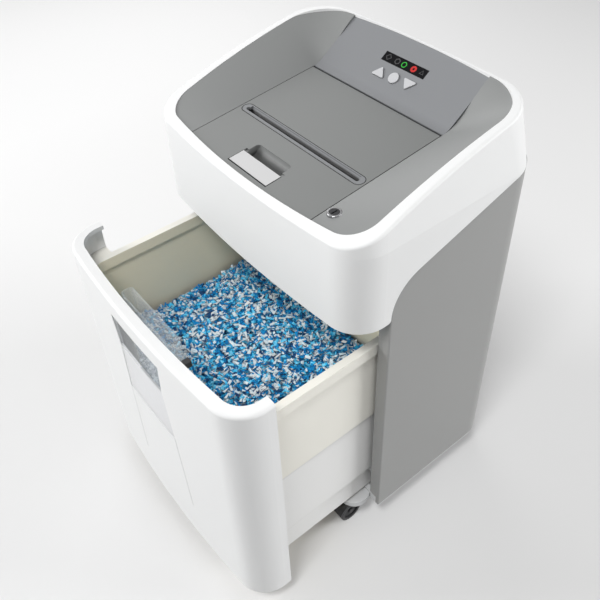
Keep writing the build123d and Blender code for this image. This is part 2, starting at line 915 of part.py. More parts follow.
with BuildPart() as motor_pinion:
    with BuildSketch(across(plate_outer - motor_length / 2 + gear_gap)):
        with Locations((motor_y, motor_z)):
            Circle(motor_shaft)
    extrude(amount=motor_length / 2 - gear_gap + wheel_start - plate_outer + feed_gear_width)
    with BuildSketch(across(wheel_start)):
        gear_outline((motor_y, motor_z), motor_teeth, motor_module, motor_angle + 180 + 180 / motor_teeth)
    extrude(amount=feed_gear_width)
finish(motor_pinion, "motor_pinion")

# Paper tray: open box on top of the cutter plates, with the feed gap and the roller windows
tray_front_y = panel_front - tray_front
tray_rear_y = panel_front + tray_rear
under_lid = lid_plane.offset(-lid_thickness - soft_gap)
with BuildPart() as paper_tray:
    with BuildSketch(Plane.XY.offset(tray_floor_height)):
        with Locations((0, (tray_front_y + tray_rear_y) / 2)):
            Rectangle(2 * (tray_half + tray_wall), tray_rear_y - tray_front_y + 2 * tray_wall)
    extrude(amount=lid_rear_height - tray_floor_height + bezel_skirt)
    with BuildSketch(Plane.XY.offset(tray_top_of_floor)):
        with Locations((0, (tray_front_y + tray_rear_y) / 2)):
            Rectangle(2 * tray_half, tray_rear_y - tray_front_y)
    extrude(amount=lid_rear_height, mode=Mode.SUBTRACT)
    split(bisect_by=under_lid, keep=Keep.BOTTOM)
    with BuildSketch(Plane.XY.offset(tray_floor_height)):
        with Locations((0, nip_y)):
            Rectangle(slot_width, 2 * slot_opening)
        for roller_y in (front_roller_y, rear_roller_y):
            with Locations((-roller_x, roller_y), (roller_x, roller_y)):
                Rectangle(roller_length + 4, 2 * roller_radius + 2)
    extrude(amount=tray_wall, mode=Mode.SUBTRACT)
    with BuildSketch(across(0)):
        with Locations((hinge_axis.Y, hinge_axis.Z)):
            Circle(lid_thickness + lid_gap)
    extrude(amount=half_width, both=True, mode=Mode.SUBTRACT)
finish(paper_tray, "paper_tray")


# Surround: a facet each side that rises from the lid to the rim, held by tabs under the rim
def facet(side, stations):
    """Skin between the lid and the rim, with a skirt along both of its edges."""
    inner = side * (lid_half + lid_gap / 2)
    outer = side * (rim_half - soft_gap)
    with BuildPart() as skin:
        for y in stations:
            foot = foot_height(y)
            top = rim_height(y) - bezel_drop
            climb = bezel_wall * (top - foot) / (rim_half - lid_half)
            with BuildSketch(Plane.XZ.offset(-y)):
                with BuildLine():
                    Polyline(
                        (inner, foot), (outer, top), (outer, top - bezel_skirt),
                        (outer - side * bezel_wall, top - bezel_skirt),
                        (outer - side * bezel_wall, top - climb - bezel_wall),
                        (inner + side * bezel_wall, foot + climb - bezel_wall),
                        (inner + side * bezel_wall, foot - bezel_skirt), (inner, foot - bezel_skirt),
                        close=True,
                    )
                make_face()
        loft()
        with BuildSketch(Plane.XY.offset(rim_front_height - front_corner)):
            rim_outline(soft_gap)
        extrude(amount=rim_rear_height, mode=Mode.INTERSECT)
    return skin


front_stations = [head_front, panel_front, (panel_front + lid_y) / 2, lid_y]
rear_stations = [lid_y, (lid_y + 2 * bend_y) / 3, (bend_y + panel_back) / 2, panel_back]
lock_y = panel_front + lock_from_panel
lock_share = (lock_x - lid_half) / (rim_half - lid_half)
lock_top = lid_height(lock_y) + (rim_height(lock_y) - lid_height(lock_y)) * lock_share + lock_rise

with BuildPart() as bezel_tabs:
    for place in tab_places:
        tab_y = panel_front + place
        with BuildSketch(Plane.XY.offset(rim_height(tab_y) - bezel_skirt)):
            for side in (-1, 1):
                with Locations((side * (rim_half + (tab_reach - bezel_wall) / 2), tab_y)):
                    Rectangle(tab_reach + bezel_wall, tab_length)
        extrude(amount=bezel_skirt)
    with BuildSketch(across(0)):
        under_rim(rim_thickness)
    extrude(amount=half_width, both=True, mode=Mode.INTERSECT)

with BuildPart() as top_bezel:
    for side in (-1, 1):
        add(facet(side, front_stations).part)
        add(facet(side, rear_stations).part)
    add(bezel_tabs.part)
    bar_half = lid_half + lid_gap / 2 + bezel_wall
    bar_rear = (tray_front_y - tray_wall - lid_gap - soft_gap - lid_y) / cos(slope)
    tray_side = tray_half + tray_wall + soft_gap
    with BuildSketch(under_lid):
        with Locations((0, bar_rear)):
            Rectangle(2 * bar_half, ledge_width, align=(Align.CENTER, Align.MAX))
        for side in (-1, 1):
            with Locations((side * (bar_half + tray_side) / 2, bar_rear)):
                Rectangle(bar_half - tray_side, 2 * ledge_width)
    extrude(amount=-(bezel_skirt - lid_thickness - soft_gap))
    for side in (-1, 1):
        with BuildSketch(across(side * (lid_half + lid_gap / 2))):
            with Locations((hinge_axis.Y, hinge_axis.Z)):
                Circle(hinge_pin_radius)
        extrude(amount=side * bezel_wall, mode=Mode.SUBTRACT)
    with BuildSketch(Plane.XY.offset(lock_top - lock_length)):
        with Locations((lock_x, lock_y)):
            Circle(lock_radius)
    extrude(amount=2 * lock_length, mode=Mode.SUBTRACT)
finish(top_bezel, "top_bezel")

# Lid over the paper tray, with the finger cup and the pocket for its latch
latch_y = (rim_front + lid_gap - lid_y) / cos(slope) + latch_from_front
latch_pocket = latch_thickness - latch_rise
recess_y = latch_y + latch_depth
stem_y = latch_y + latch_stem_from_front
with BuildPart() as finger_scoop:
    with BuildSketch(lid_plane):
        with Locations((0, recess_y)):
            RectangleRounded(recess_width, 2 * recess_depth, recess_round)
    extrude(amount=-recess_drop)
    with BuildSketch(Plane(origin=lid_plane.origin, x_dir=lid_plane.y_dir, z_dir=lid_plane.x_dir)):
        with BuildLine():
            Polyline(
                (recess_y + recess_depth, 0), (recess_y, 0), (recess_y, -recess_drop),
                (recess_y + scoop_flat, -recess_drop)
            )
            SagittaArc(
                (recess_y + scoop_flat, -recess_drop), (recess_y + recess_depth, 0), -scoop_hollow
            )
        make_face()
    extrude(amount=half_width, both=True, mode=Mode.INTERSECT)

with BuildPart() as lid_panel:
    with BuildSketch(lid_plane):
        with Locations((0, -lid_thickness)):
            Rectangle(lid_width - lid_gap, 2 * lid_rear, align=(Align.CENTER, Align.MAX))
    extrude(amount=-lid_thickness)
    with BuildSketch(Plane.XY.offset(rim_front_height - front_corner)):
        rim_outline(lid_gap)
    extrude(amount=rim_rear_height, mode=Mode.INTERSECT)
    with BuildSketch(across(-lid_half + lid_gap / 2)):
        with Locations((hinge_axis.Y, hinge_axis.Z)):
            Circle(lid_thickness)
    extrude(amount=lid_width - lid_gap)
    with BuildSketch(lid_plane.offset(-lid_thickness)):
        with Locations((0, recess_y + recess_depth / 2)):
            RectangleRounded(recess_width + 2 * cup_wall, recess_depth + 2 * cup_wall, cup_wall)
    extrude(amount=-(recess_drop + cup_wall - lid_thickness))
    add(finger_scoop.part, mode=Mode.SUBTRACT)
    with BuildSketch(lid_plane):
        with Locations((0, latch_y - latch_gap)):
            Rectangle(
                latch_width + 2 * latch_gap, latch_depth + latch_travel + 2 * latch_gap,
                align=(Align.CENTER, Align.MIN)
            )
    extrude(amount=-latch_pocket, mode=Mode.SUBTRACT)
    with BuildSketch(lid_plane):
        with Locations((0, throat_y)):
            SlotOverall(throat_length + soft_gap, throat_opening + throat_flange + soft_gap)
    extrude(amount=-throat_flange_thickness, mode=Mode.SUBTRACT)
    with BuildSketch(lid_plane):
        with Locations((0, stem_y - soft_gap)):
            Rectangle(
                latch_stem_width + 2 * soft_gap, latch_stem + latch_travel + 2 * soft_gap,
                align=(Align.CENTER, Align.MIN)
            )
        with Locations((0, throat_y)):
            Rectangle(throat_width, throat_opening)
    extrude(amount=-lid_thickness, mode=Mode.SUBTRACT)
    for side in (-1, 1):
        with BuildSketch(across(side * lid_half)):
            with Locations((hinge_axis.Y, hinge_axis.Z)):
                Circle(hinge_pin_radius + running_gap)
        extrude(amount=-side * hinge_pin_length, mode=Mode.SUBTRACT)
finish(lid_panel, "lid_panel")

with BuildPart() as lid_hinge_pins:
    for side in (-1, 1):
        with BuildSketch(across(side * (lid_half + lid_gap / 2 + bezel_wall))):
            with Locations((hinge_axis.Y, hinge_axis.Z)):
                Circle(hinge_pin_radius)
        extrude(amount=-side * hinge_pin_length)
finish(lid_hinge_pins, "lid_hinge_pins")

slot_y = throat_y - slot_forward
ramp_start = slot_y + slot_opening / 2
with BuildPart() as feed_throat:
    with BuildSketch(lid_plane):
        with Locations((0, throat_y)):
            SlotOverall(throat_length, throat_opening + throat_flange)
    extrude(amount=-throat_flange_thickness)
    with BuildSketch(lid_plane):
        with Locations((0, throat_y)):
            Rectangle(throat_width, throat_opening)
    extrude(amount=-throat_depth)
    with BuildSketch(lid_plane):
        with Locations((0, slot_y)):
            SlotOverall(slot_width, slot_opening)
    extrude(amount=-throat_depth, mode=Mode.SUBTRACT)
    with BuildSketch(Plane(origin=lid_plane.origin, x_dir=lid_plane.y_dir, z_dir=lid_plane.x_dir)):
        with BuildLine():
            Polyline(
                (ramp_start + throat_ramp, 0), (ramp_start - soft_gap, 0),
                (ramp_start - soft_gap, -throat_ramp_depth)
            )
            SagittaArc(
                (ramp_start - soft_gap, -throat_ramp_depth), (ramp_start + throat_ramp, 0), -throat_hollow
            )
        make_face()
    extrude(amount=slot_width / 2 - slot_opening / 2, both=True, mode=Mode.SUBTRACT)
finish(feed_throat, "feed_throat")

with BuildPart() as lid_latch:
    with BuildSketch(lid_plane.offset(latch_rise)):
        with Locations((0, latch_y)):
            Rectangle(latch_width, latch_depth, align=(Align.CENTER, Align.MIN))
    extrude(amount=-(latch_thickness - running_gap))
    with BuildSketch(lid_plane):
        with Locations((0, stem_y)):
            Rectangle(latch_stem_width, latch_stem, align=(Align.CENTER, Align.MIN))
    extrude(amount=-(lid_thickness + running_gap))
    with BuildSketch(lid_plane.offset(-lid_thickness - running_gap)):
        with Locations((0, stem_y + latch_stem)):
            Rectangle(2 * latch_stem_width, 2 * latch_stem, align=(Align.CENTER, Align.MAX))
    extrude(amount=-latch_thickness)
finish(lid_latch, "lid_latch")

# Key lock in the right facet
with BuildPart() as lock_barrel:
    with BuildSketch(Plane.XY.offset(lock_top - lock_length)):
        with Locations((lock_x, lock_y)):
            Circle(lock_radius)
    extrude(amount=lock_length)
    fillet(lock_barrel.edges().sort_by(Axis.Z)[-1], lock_rise / 2)
    with BuildSketch(Plane.XY.offset(lock_top)):
        with Locations((lock_x, lock_y)):
            Circle(key_radius + running_gap)
    extrude(amount=-(lock_length - lock_rise), mode=Mode.SUBTRACT)
finish(lock_barrel, "lock_barrel")

with BuildPart() as key_cylinder:
    with BuildSketch(Plane.XY.offset(lock_top - soft_gap)):
        with Locations((lock_x, lock_y)):
            Circle(key_radius)
    extrude(amount=-(lock_length - lock_rise - 2 * soft_gap))
    with BuildSketch(Plane.XY.offset(lock_top - soft_gap)):
        with Locations((lock_x, lock_y)):
            Rectangle(key_slot_width, 1.3 * key_radius)
    extrude(amount=-2 * lock_rise, mode=Mode.SUBTRACT)
finish(key_cylinder, "key_cylinder")


# Control panel: a bent plate behind the lid, with the display, three buttons and their board
def button_outline(x, points, grow):
    """Push button: a triangle that points up or down the panel, or a round one."""
    with BuildSketch(mode=Mode.PRIVATE) as outline:
        if points:
            tip = points * button_height / 2
            with BuildLine():
                Polyline(
                    (x - button_width / 2, button_up - tip), (x + button_width / 2, button_up - tip),
                    (x, button_up + tip), close=True
                )
            make_face()
            fillet(outline.vertices(), button_round)
        else:
            with Locations((x, button_up)):
                Circle(power_button_radius)
        if grow:
            offset(amount=grow)
    add(outline.sketch)


buttons = [
    ("reverse_button", console_x - button_pitch, 1), ("power_button", console_x, 0),
    ("forward_button", console_x + button_pitch, -1),
]
under_panel = console_plane.offset(-bezel_wall)
board_plane = console_plane.offset(-board_drop)
lid_normal = Vector(-sin(slope), cos(slope))
panel_normal = Vector(-sin(panel_rise), cos(panel_rise))
panel_start = Vector(lid_y + lid_gap, lid_height(lid_y + lid_gap))
panel_corner_point = Vector(bend_y, lid_height(bend_y))
panel_end = Vector(panel_top_y, panel_top_z)
mitre = (lid_normal + panel_normal) / (1 + lid_normal.dot(panel_normal))
start_low = panel_start - lid_normal * bezel_wall
corner_low = panel_corner_point - mitre * bezel_wall
end_low = panel_end - panel_normal * bezel_wall
console_half = lid_half + lid_gap / 2
panel_bend = bend_reach / tan((panel_rise - slope) / 2)
with BuildPart() as control_panel:
    with BuildSketch(across(-console_half)):
        rounded_outline([
            (panel_start.X, panel_start.Y, 0), (panel_corner_point.X, panel_corner_point.Y, panel_bend),
            (panel_end.X, panel_end.Y, 0), (end_low.X, end_low.Y, 0),
            (corner_low.X, corner_low.Y, panel_bend + bezel_wall), (start_low.X, start_low.Y, 0),
        ])
    extrude(amount=2 * console_half)
    with BuildSketch(Plane.XY.offset(rim_front_height)):
        rim_outline(soft_gap)
    extrude(amount=rim_rear_height, mode=Mode.INTERSECT)
    with BuildSketch(console_plane):
        with Locations((console_x, display_up)):
            Rectangle(display_width, display_height)
        for _, x, points in buttons:
            button_outline(x, points, button_gap)
    extrude(amount=-2 * bezel_wall, mode=Mode.SUBTRACT)
    with BuildSketch(under_panel):
        with Locations((0, board_up)):
            with GridLocations(board_width - 4 * boss_radius, board_length - 4 * boss_radius, 2, 2):
                Circle(boss_radius)
    extrude(amount=-(board_drop - bezel_wall))
finish(control_panel, "control_panel")

with BuildPart() as display_window:
    with BuildSketch(console_plane.offset(-display_inset)):
        with Locations((console_x, display_up)):
            Rectangle(display_width, display_height)
    extrude(amount=-(bezel_wall - display_inset))
finish(display_window, "display_window")

with BuildPart() as control_board:
    with BuildSketch(board_plane):
        with Locations((0, board_up)):
            Rectangle(board_width, board_length)
    extrude(amount=-board_thickness)
    with BuildSketch(board_plane):
        for _, x, _ in buttons:
            with Locations((x, button_up)):
                Rectangle(switch_width, switch_width)
    extrude(amount=switch_height)
finish(control_board, "control_board")


def button(x, points):
    """Button cap with a flange under the panel and a stem over its switch."""
    stem_end = board_drop - switch_height - button_travel - soft_gap
    with BuildPart() as cap:
        with BuildSketch(under_panel.offset(-running_gap)):
            button_outline(x, points, 0)
        extrude(amount=bezel_wall + running_gap + button_rise)
        fillet(cap.faces().sort_by(Axis((0, 0, 0), console_plane.z_dir))[-1].edges(), button_edge)
        with BuildSketch(under_panel.offset(-running_gap)):
            button_outline(x, points, button_flange)
        extrude(amount=-button_flange)
        with BuildSketch(under_panel):
            with Locations((x, button_up)):
                Circle(boss_radius)
        extrude(amount=-(stem_end - bezel_wall))
    return cap


for name, x, points in buttons:
    finish(button(x, points), name)

# Drawer front: bowed shell with a broad lip round its top edge and a waisted window
drawer_front_y = drawer_datum - front_reach
drawer_plane = Plane.XZ.offset(-drawer_datum)
lip_foot = drawer_top - lip_thickness


def bow_depth(x):
    """How far the bowed front falls back at a place along X."""
    bow_radius = (half_width ** 2 + front_bow ** 2) / (2 * front_bow)
    return bow_radius - sqrt(bow_radius ** 2 - x ** 2)


window_corners = [
    (-window_top_width / 2, window_top), (-window_waist_width / 2, window_waist),
    (-window_foot_width / 2, window_foot), (window_foot_width / 2, window_foot),
    (window_waist_width / 2, window_waist), (window_top_width / 2, window_top),
]
with BuildPart() as drawer_front:
    with BuildSketch(Plane.XY.offset(drawer_bottom)):
        drawer_outline(0)
    extrude(amount=drawer_top - drawer_bottom)
    top_edges = drawer_front.faces().sort_by(Axis.Z)[-1].edges()
    fillet(top_edges.filter_by(lambda edge: edge.center().Y < drawer_datum - 2 * closing_gap), lip_round)
    with BuildSketch(Plane.XY.offset(drawer_bottom)):
        drawer_outline(drawer_wall)
    extrude(amount=lip_foot - drawer_bottom, mode=Mode.SUBTRACT)
    with BuildSketch(Plane.XY.offset(drawer_bottom)):
        drawer_outline(lip_width)
    extrude(amount=drawer_top, mode=Mode.SUBTRACT)
    with BuildSketch(drawer_plane):
        rounded_outline([(x, z, 0) for x, z in window_corners])
    extrude(amount=2 * front_reach, mode=Mode.SUBTRACT)
    groove_floor = drawer_front_y + bow_depth(window_foot_width / 2) + groove_depth
    with BuildSketch(Plane.XZ.offset(-groove_floor)):
        for side in (-1, 1):
            head_x = side * window_foot_width / 2
            foot_x = side * groove_foot_x
            rounded_outline([
                (head_x, window_foot, 0), (foot_x, groove_foot, 0),
                (foot_x - side * groove_width, groove_foot, 0),
                (head_x - side * groove_width, window_foot, 0),
            ])
    extrude(amount=front_bow, mode=Mode.SUBTRACT)
finish(drawer_front, "drawer_front")


def window_pane(corners):
    """Pane bent to the bow of the drawer front and cut to an outline."""
    with BuildPart() as pane:
        with BuildSketch(Plane.XY.offset(window_foot)):
            drawer_outline(window_inset)
            drawer_outline(window_inset + window_thickness, Mode.SUBTRACT)
        extrude(amount=window_top - window_foot)
        with BuildSketch(drawer_plane):
            rounded_outline([(x, z, 0) for x, z in corners])
        extrude(amount=2 * front_reach, mode=Mode.INTERSECT)
    return pane


finish(window_pane([window_corners[i] for i in (0, 1, 4, 5)]), "sight_window")
finish(window_pane([window_corners[i] for i in (1, 2, 3, 4)]), "window_skirt")

# Waste bin: stepped tub that hangs on the drawer front and runs on its lower ledge
bin_front_y = drawer_datum - bin_front
bin_middle = bin_front_y + bin_depth / 2
bin_bands = [
    (bin_lower_half, bin_bottom, bin_ledge_height),
    (bin_middle_half, bin_ledge_height, bin_step_height),
    (bin_upper_half, bin_step_height, bin_rim_height),
]
rim_reach = bin_rim_half - bin_upper_half
rim_foot = bin_rim_height - bin_rim_skirt
mouth_inset = bin_upper_half - bin_mouth_half
with BuildPart() as waste_bin:
    for half, foot, top in bin_bands:
        with BuildSketch(Plane.XY.offset(foot)):
            with Locations((0, bin_middle)):
                RectangleRounded(2 * half, bin_depth, bin_corner)
        extrude(amount=top - foot)
    with BuildSketch(Plane.XY.offset(rim_foot)):
        with Locations((0, bin_middle)):
            RectangleRounded(2 * bin_rim_half, bin_depth + 2 * rim_reach, bin_corner + rim_reach)
    extrude(amount=bin_rim_skirt)
    with BuildSketch(Plane.XY.offset(bin_rim_height - bin_shelf)):
        drawer_outline(drawer_wall)
    extrude(amount=bin_shelf)
    for half, foot, top in bin_bands:
        with BuildSketch(Plane.XY.offset(foot + bin_wall)):
            with Locations((0, bin_middle)):
                RectangleRounded(2 * (half - bin_wall), bin_depth - 2 * bin_wall, bin_corner - bin_wall)
        extrude(amount=min(top, rim_foot - bin_wall) - foot, mode=Mode.SUBTRACT)
    with BuildSketch(Plane.XY.offset(rim_foot)):
        with Locations((0, bin_middle)):
            RectangleRounded(2 * bin_mouth_half, bin_depth - 2 * mouth_inset, bin_corner - mouth_inset)
    extrude(amount=bin_rim_skirt, mode=Mode.SUBTRACT)
    with BuildSketch(Plane.XY.offset(card_tray_top - card_tray_height - notch_gap)):
        with Locations((0, bin_front_y + mouth_inset)):
            Rectangle(card_tray_width + 2 * notch_gap, front_reach, align=(Align.CENTER, Align.MAX))
    extrude(amount=card_tray_height, mode=Mode.SUBTRACT)
finish(waste_bin, "waste_bin")

# Crust of shredded paper that lies across the bin
shred_half = bin_middle_half - bin_wall
with BuildPart() as shredded_paper:
    with BuildSketch(Plane.XY.offset(shred_height - shred_thickness)):
        with Locations((0, bin_middle)):
            RectangleRounded(2 * shred_half, bin_depth - 2 * bin_wall, bin_corner - bin_wall)
    extrude(amount=shred_thickness + shred_crown)
    shred_foot = shred_height - 2 * shred_thickness
    with BuildSketch(Plane.XZ.offset(-bin_front_y)):
        with BuildLine():
            ThreePointArc(
                (-bin_rim_half, shred_height), (0, shred_height + shred_crown), (bin_rim_half, shred_height)
            )
            Polyline(
                (bin_rim_half, shred_height), (bin_rim_half, shred_foot), (-bin_rim_half, shred_foot),
                (-bin_rim_half, shred_height)
            )
        make_face()
    extrude(amount=-bin_depth, mode=Mode.INTERSECT)
finish(shredded_paper, "shredded_paper")

# Clear tray for shredded cards, hung by its ears on the rim of the bin, and its clip
card_tray_y = bin_front_y - card_tray_forward
with BuildPart() as card_tray:
    with BuildSketch(Plane.XY.offset(card_tray_top - card_tray_height)):
        with Locations((0, card_tray_y)):
            RectangleRounded(
                card_tray_width, card_tray_depth, card_tray_corner, align=(Align.CENTER, Align.MIN)
            )
    extrude(amount=card_tray_height)
    with BuildSketch(Plane.XY.offset(card_tray_top - card_tray_height + card_tray_wall)):
        with Locations((0, card_tray_y + card_tray_wall)):
            RectangleRounded(
                card_tray_width - 2 * card_tray_wall, card_tray_depth - 2 * card_tray_wall,
                card_tray_corner - card_tray_wall, align=(Align.CENTER, Align.MIN)
            )
    extrude(amount=card_tray_height, mode=Mode.SUBTRACT)
    with BuildSketch(Plane.XY.offset(bin_rim_height)):
        for side in (-1, 1):
            with Locations((side * (card_tray_width + card_tray_tab) / 2, card_tray_y + card_tray_corner)):
                Rectangle(
                    card_tray_tab + 2 * card_tray_wall, card_tray_wall + bin_wall,
                    align=(Align.CENTER, Align.MIN)
                )
    extrude(amount=card_tray_wall)
finish(card_tray, "card_tray")

lip_inner_y = drawer_front_y + lip_width + bow_depth(clip_x)
with BuildPart() as tray_clip:
    with BuildSketch(Plane.XY.offset(lip_foot - clip_height)):
        with Locations((clip_x, lip_inner_y - lip_width / 2)):
            Rectangle(clip_width, lip_width / 2 + clip_reach, align=(Align.CENTER, Align.MIN))
    extrude(amount=clip_height)
    with BuildSketch(Plane.XY.offset(lip_foot)):
        with Locations((clip_x, lip_inner_y + closing_gap)):
            Rectangle(clip_width, clip_reach - closing_gap, align=(Align.CENTER, Align.MIN))
    extrude(amount=clip_height / 2)
finish(tray_clip, "tray_clip")


# Runners on the side panels, under the ledge of the bin
def runner(side):
    runner_top = bin_ledge_height - runner_gap
    shelf = panel_inner - bin_lower_half - runner_clearance
    with BuildPart() as rail:
        with BuildSketch(Plane.XZ.offset(-panel_front - 2 * sheet)):
            with Locations((side * (panel_inner - sheet / 2), runner_top)):
                Rectangle(sheet, runner_leg, align=(Align.CENTER, Align.MAX))
            with Locations((side * (panel_inner - shelf / 2), runner_top)):
                Rectangle(shelf, 2 * sheet, align=(Align.CENTER, Align.MAX))
        extrude(amount=-runner_length)
    return rail


finish(runner(-1), "left_runner")
finish(runner(1), "right_runner")

# Mains inlet and switch housing in the back panel, the rocker in it, and the panel's screws
rocker_y = back_face - rocker_wall
rocker_face = back_face + rocker_rise
with BuildPart() as mains_inlet:
    with BuildSketch(back_plane):
        with Locations((inlet_x, inlet_height)):
            Rectangle(inlet_width, inlet_tall)
        with Locations((rocker_x, inlet_height)):
            Rectangle(rocker_width + 2 * rocker_wall, rocker_tall + 2 * rocker_wall)
    extrude(amount=inlet_depth)
    flange_left = inlet_x - inlet_width / 2 - 2 * rocker_wall
    flange_right = rocker_x + rocker_width / 2 + 3 * rocker_wall
    with BuildSketch(back_plane):
        with Locations(((flange_left + flange_right) / 2, inlet_height)):
            RectangleRounded(flange_right - flange_left, inlet_tall + 4 * rocker_wall, 2 * rocker_wall)
    extrude(amount=-screw_head)
    with BuildSketch(back_plane.offset(-screw_head)):
        with Locations((inlet_x, inlet_height)):
            RectangleRounded(socket_width, socket_tall, rocker_wall)
    extrude(amount=screw_head + socket_depth, mode=Mode.SUBTRACT)
    with BuildSketch(back_plane.offset(socket_depth)):
        with Locations(
            (inlet_x - socket_width / 4, inlet_height), (inlet_x, inlet_height + socket_tall / 5),
            (inlet_x + socket_width / 4, inlet_height)
        ):
            Rectangle(blade_thickness, 2 * blade_thickness)
    extrude(amount=-socket_depth / 2)
    with BuildSketch(back_plane.offset(-screw_head)):
        with Locations((rocker_x, inlet_height)):
            Rectangle(rocker_width + 2 * soft_gap, rocker_tall + 4 * soft_gap)
    extrude(amount=screw_head + inlet_depth / 2, mode=Mode.SUBTRACT)
    with BuildSketch(across(rocker_x)):
        with Locations((rocker_y, inlet_height)):
            Circle(rocker_pin + running_gap)
    extrude(amount=rocker_width / 2 + 0.8 * rocker_wall, both=True, mode=Mode.SUBTRACT)
finish(mains_inlet, "mains_inlet")

with BuildPart() as power_rocker:
    with BuildSketch(across(rocker_x)):
        with Locations((rocker_y, inlet_height)):
            Circle(rocker_tall / 2)
            Rectangle(rocker_face - rocker_y, rocker_tall, align=(Align.MIN, Align.CENTER))
        with Locations((rocker_face, inlet_height)):
            Rectangle(rocker_tall, 2 * rocker_tall, align=(Align.MIN, Align.CENTER), mode=Mode.SUBTRACT)
    extrude(amount=rocker_width / 2, both=True)
    with BuildSketch(across(rocker_x)):
        with Locations((rocker_y, inlet_height)):
            Circle(rocker_pin)
    extrude(amount=rocker_width / 2 + 0.7 * rocker_wall, both=True)
finish(power_rocker, "power_rocker")

with BuildPart() as panel_screws:
    with BuildSketch(back_plane):
        with Locations((0, (floor_gap + back_top) / 2)):
            with GridLocations(2 * (back_half - screw_edge), back_top - floor_gap - 2 * screw_edge, 2, 2):
                Circle(screw_radius)
    extrude(amount=-screw_head)
finish(panel_screws, "panel_screws")
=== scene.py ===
"""Paper shredder with its waste drawer open: finishes, shreds, display lamps, studio and camera."""
import json
import random
from math import atan2, cos, pi, radians, sin, sqrt

import bmesh
import bpy
from mathutils import Matrix, Vector, noise


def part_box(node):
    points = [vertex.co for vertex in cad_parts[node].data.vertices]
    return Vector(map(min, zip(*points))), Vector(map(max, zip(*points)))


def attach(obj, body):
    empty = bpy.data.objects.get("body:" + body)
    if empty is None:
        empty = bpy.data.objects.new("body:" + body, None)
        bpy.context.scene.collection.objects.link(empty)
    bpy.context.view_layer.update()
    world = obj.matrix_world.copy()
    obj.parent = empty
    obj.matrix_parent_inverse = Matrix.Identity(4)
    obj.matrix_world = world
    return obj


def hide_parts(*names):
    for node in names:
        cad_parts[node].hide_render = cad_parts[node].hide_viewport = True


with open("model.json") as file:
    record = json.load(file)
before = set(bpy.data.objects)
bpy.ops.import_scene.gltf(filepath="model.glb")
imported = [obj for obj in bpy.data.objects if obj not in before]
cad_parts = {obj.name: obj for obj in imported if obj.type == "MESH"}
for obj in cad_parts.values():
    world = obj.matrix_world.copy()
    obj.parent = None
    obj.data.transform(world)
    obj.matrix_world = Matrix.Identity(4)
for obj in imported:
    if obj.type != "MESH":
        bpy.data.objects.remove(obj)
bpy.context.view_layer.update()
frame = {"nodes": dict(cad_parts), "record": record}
nodes = frame["nodes"]

# Sizes of what this script adds, in metres
seam_shade_reach = 0.003
bin_steps = (0.118, 0.260)
heap_level = 0.276
heap_crown = 0.016
heap_bank = 0.034
heap_corner = 0.020
bed_inset = 0.003
bed_sink = 0.004
bed_depth = 0.012
tray_margin = 0.010
tray_drop = 0.008
chip_thickness = 0.00022
chip_margin = 0.0085
card_end_margin = 0.024
card_side_margin = 0.0052
card_floor_margin = 0.006
card_top = 0.404
shadow_sheet_thickness = 0.00005
throat_shadow_width = 0.0009
latch_clearance = 0.0001
latch_shadow_width = 0.0011
display_thickness = 0.0027
lamp_thickness = 0.0001
lamp_lift = 0.00005
floor_half = 6.0
# Where along X the floor's painted shade starts, and the span over which it greys
painted_falloff_start = -1.3
painted_falloff_span = 1.8

# Spread of the loose chips: lengths in metres, angles in radians, taper as a share of the width
chip_width = (0.0040, 0.0058)
chip_length = (0.0062, 0.0112)
chip_twist = (-1.0, 1.0)
chip_lift = (-0.0014, 0.0030)
chip_taper = (0.5, 1.0)
chip_rise = (-0.002, 0.006)
chip_tilt = 0.6
card_tilt = 1.4
card_count = 900

# Brightness of the studio: the floor where it is pale, where painted shade has greyed it and to light that
# bounces off it, the floor's glow, the air's light on the pieces and what it gains where it is seen
floor_pale = 0.86
floor_painted_shade = 0.67
floor_bounce = 0.6
floor_glow = 0.06
air_light = 0.25
air_gain = 0.4

# Plain colours
plain_black = (0, 0, 0, 1)
plain_white = (1, 1, 1, 1)


class Field:
    """A value or colour that varies over a surface. Arithmetic on a value adds Math nodes."""

    def __init__(self, finish, socket):
        self.finish = finish
        self.socket = socket

    def math(self, operation, first, second):
        return self.finish.node("ShaderNodeMath", {"operation": operation}, {0: first, 1: second})

    def __add__(self, other):
        return self.math("ADD", self, other)

    def __radd__(self, other):
        return self.math("ADD", other, self)

    def __sub__(self, other):
        return self.math("SUBTRACT", self, other)

    def __rsub__(self, other):
        return self.math("SUBTRACT", other, self)

    def __mul__(self, other):
        return self.math("MULTIPLY", self, other)

    def __rmul__(self, other):
        return self.math("MULTIPLY", other, self)


class ShaderTree:
    """Shader nodes of a finish or of the studio's air."""

    def __init__(self, tree):
        self.tree = tree

    def node(self, kind, settings=None, inputs=None, output=0):
        made = self.tree.nodes.new(kind)
        for key, value in (settings or {}).items():
            if key == "stops":
                self.set_stops(made.color_ramp, value)
            else:
                setattr(made, key, value)
        for key, value in (inputs or {}).items():
            self.feed(made.inputs[key], value)
        return Field(self, made.outputs[output])

    def set_stops(self, ramp, stops):
        while len(ramp.elements) < len(stops):
            ramp.elements.new(1.0)
        for element, (position, color) in zip(ramp.elements, stops):
            element.position = position
            element.color = color

    def feed(self, socket, value):
        if isinstance(value, Field):
            self.tree.links.new(value.socket, socket)
        else:
            socket.default_value = value

    def seen(self):
        """1 for a ray that shows the surroundings: straight to the camera, in a gloss or through glass."""
        camera_ray = self.node("ShaderNodeLightPath", output="Is Camera Ray")
        glossy_ray = self.node("ShaderNodeLightPath", output="Is Glossy Ray")
        glass_ray = self.node("ShaderNodeLightPath", output="Is Transmission Ray")
        return camera_ray + glossy_ray + glass_ray


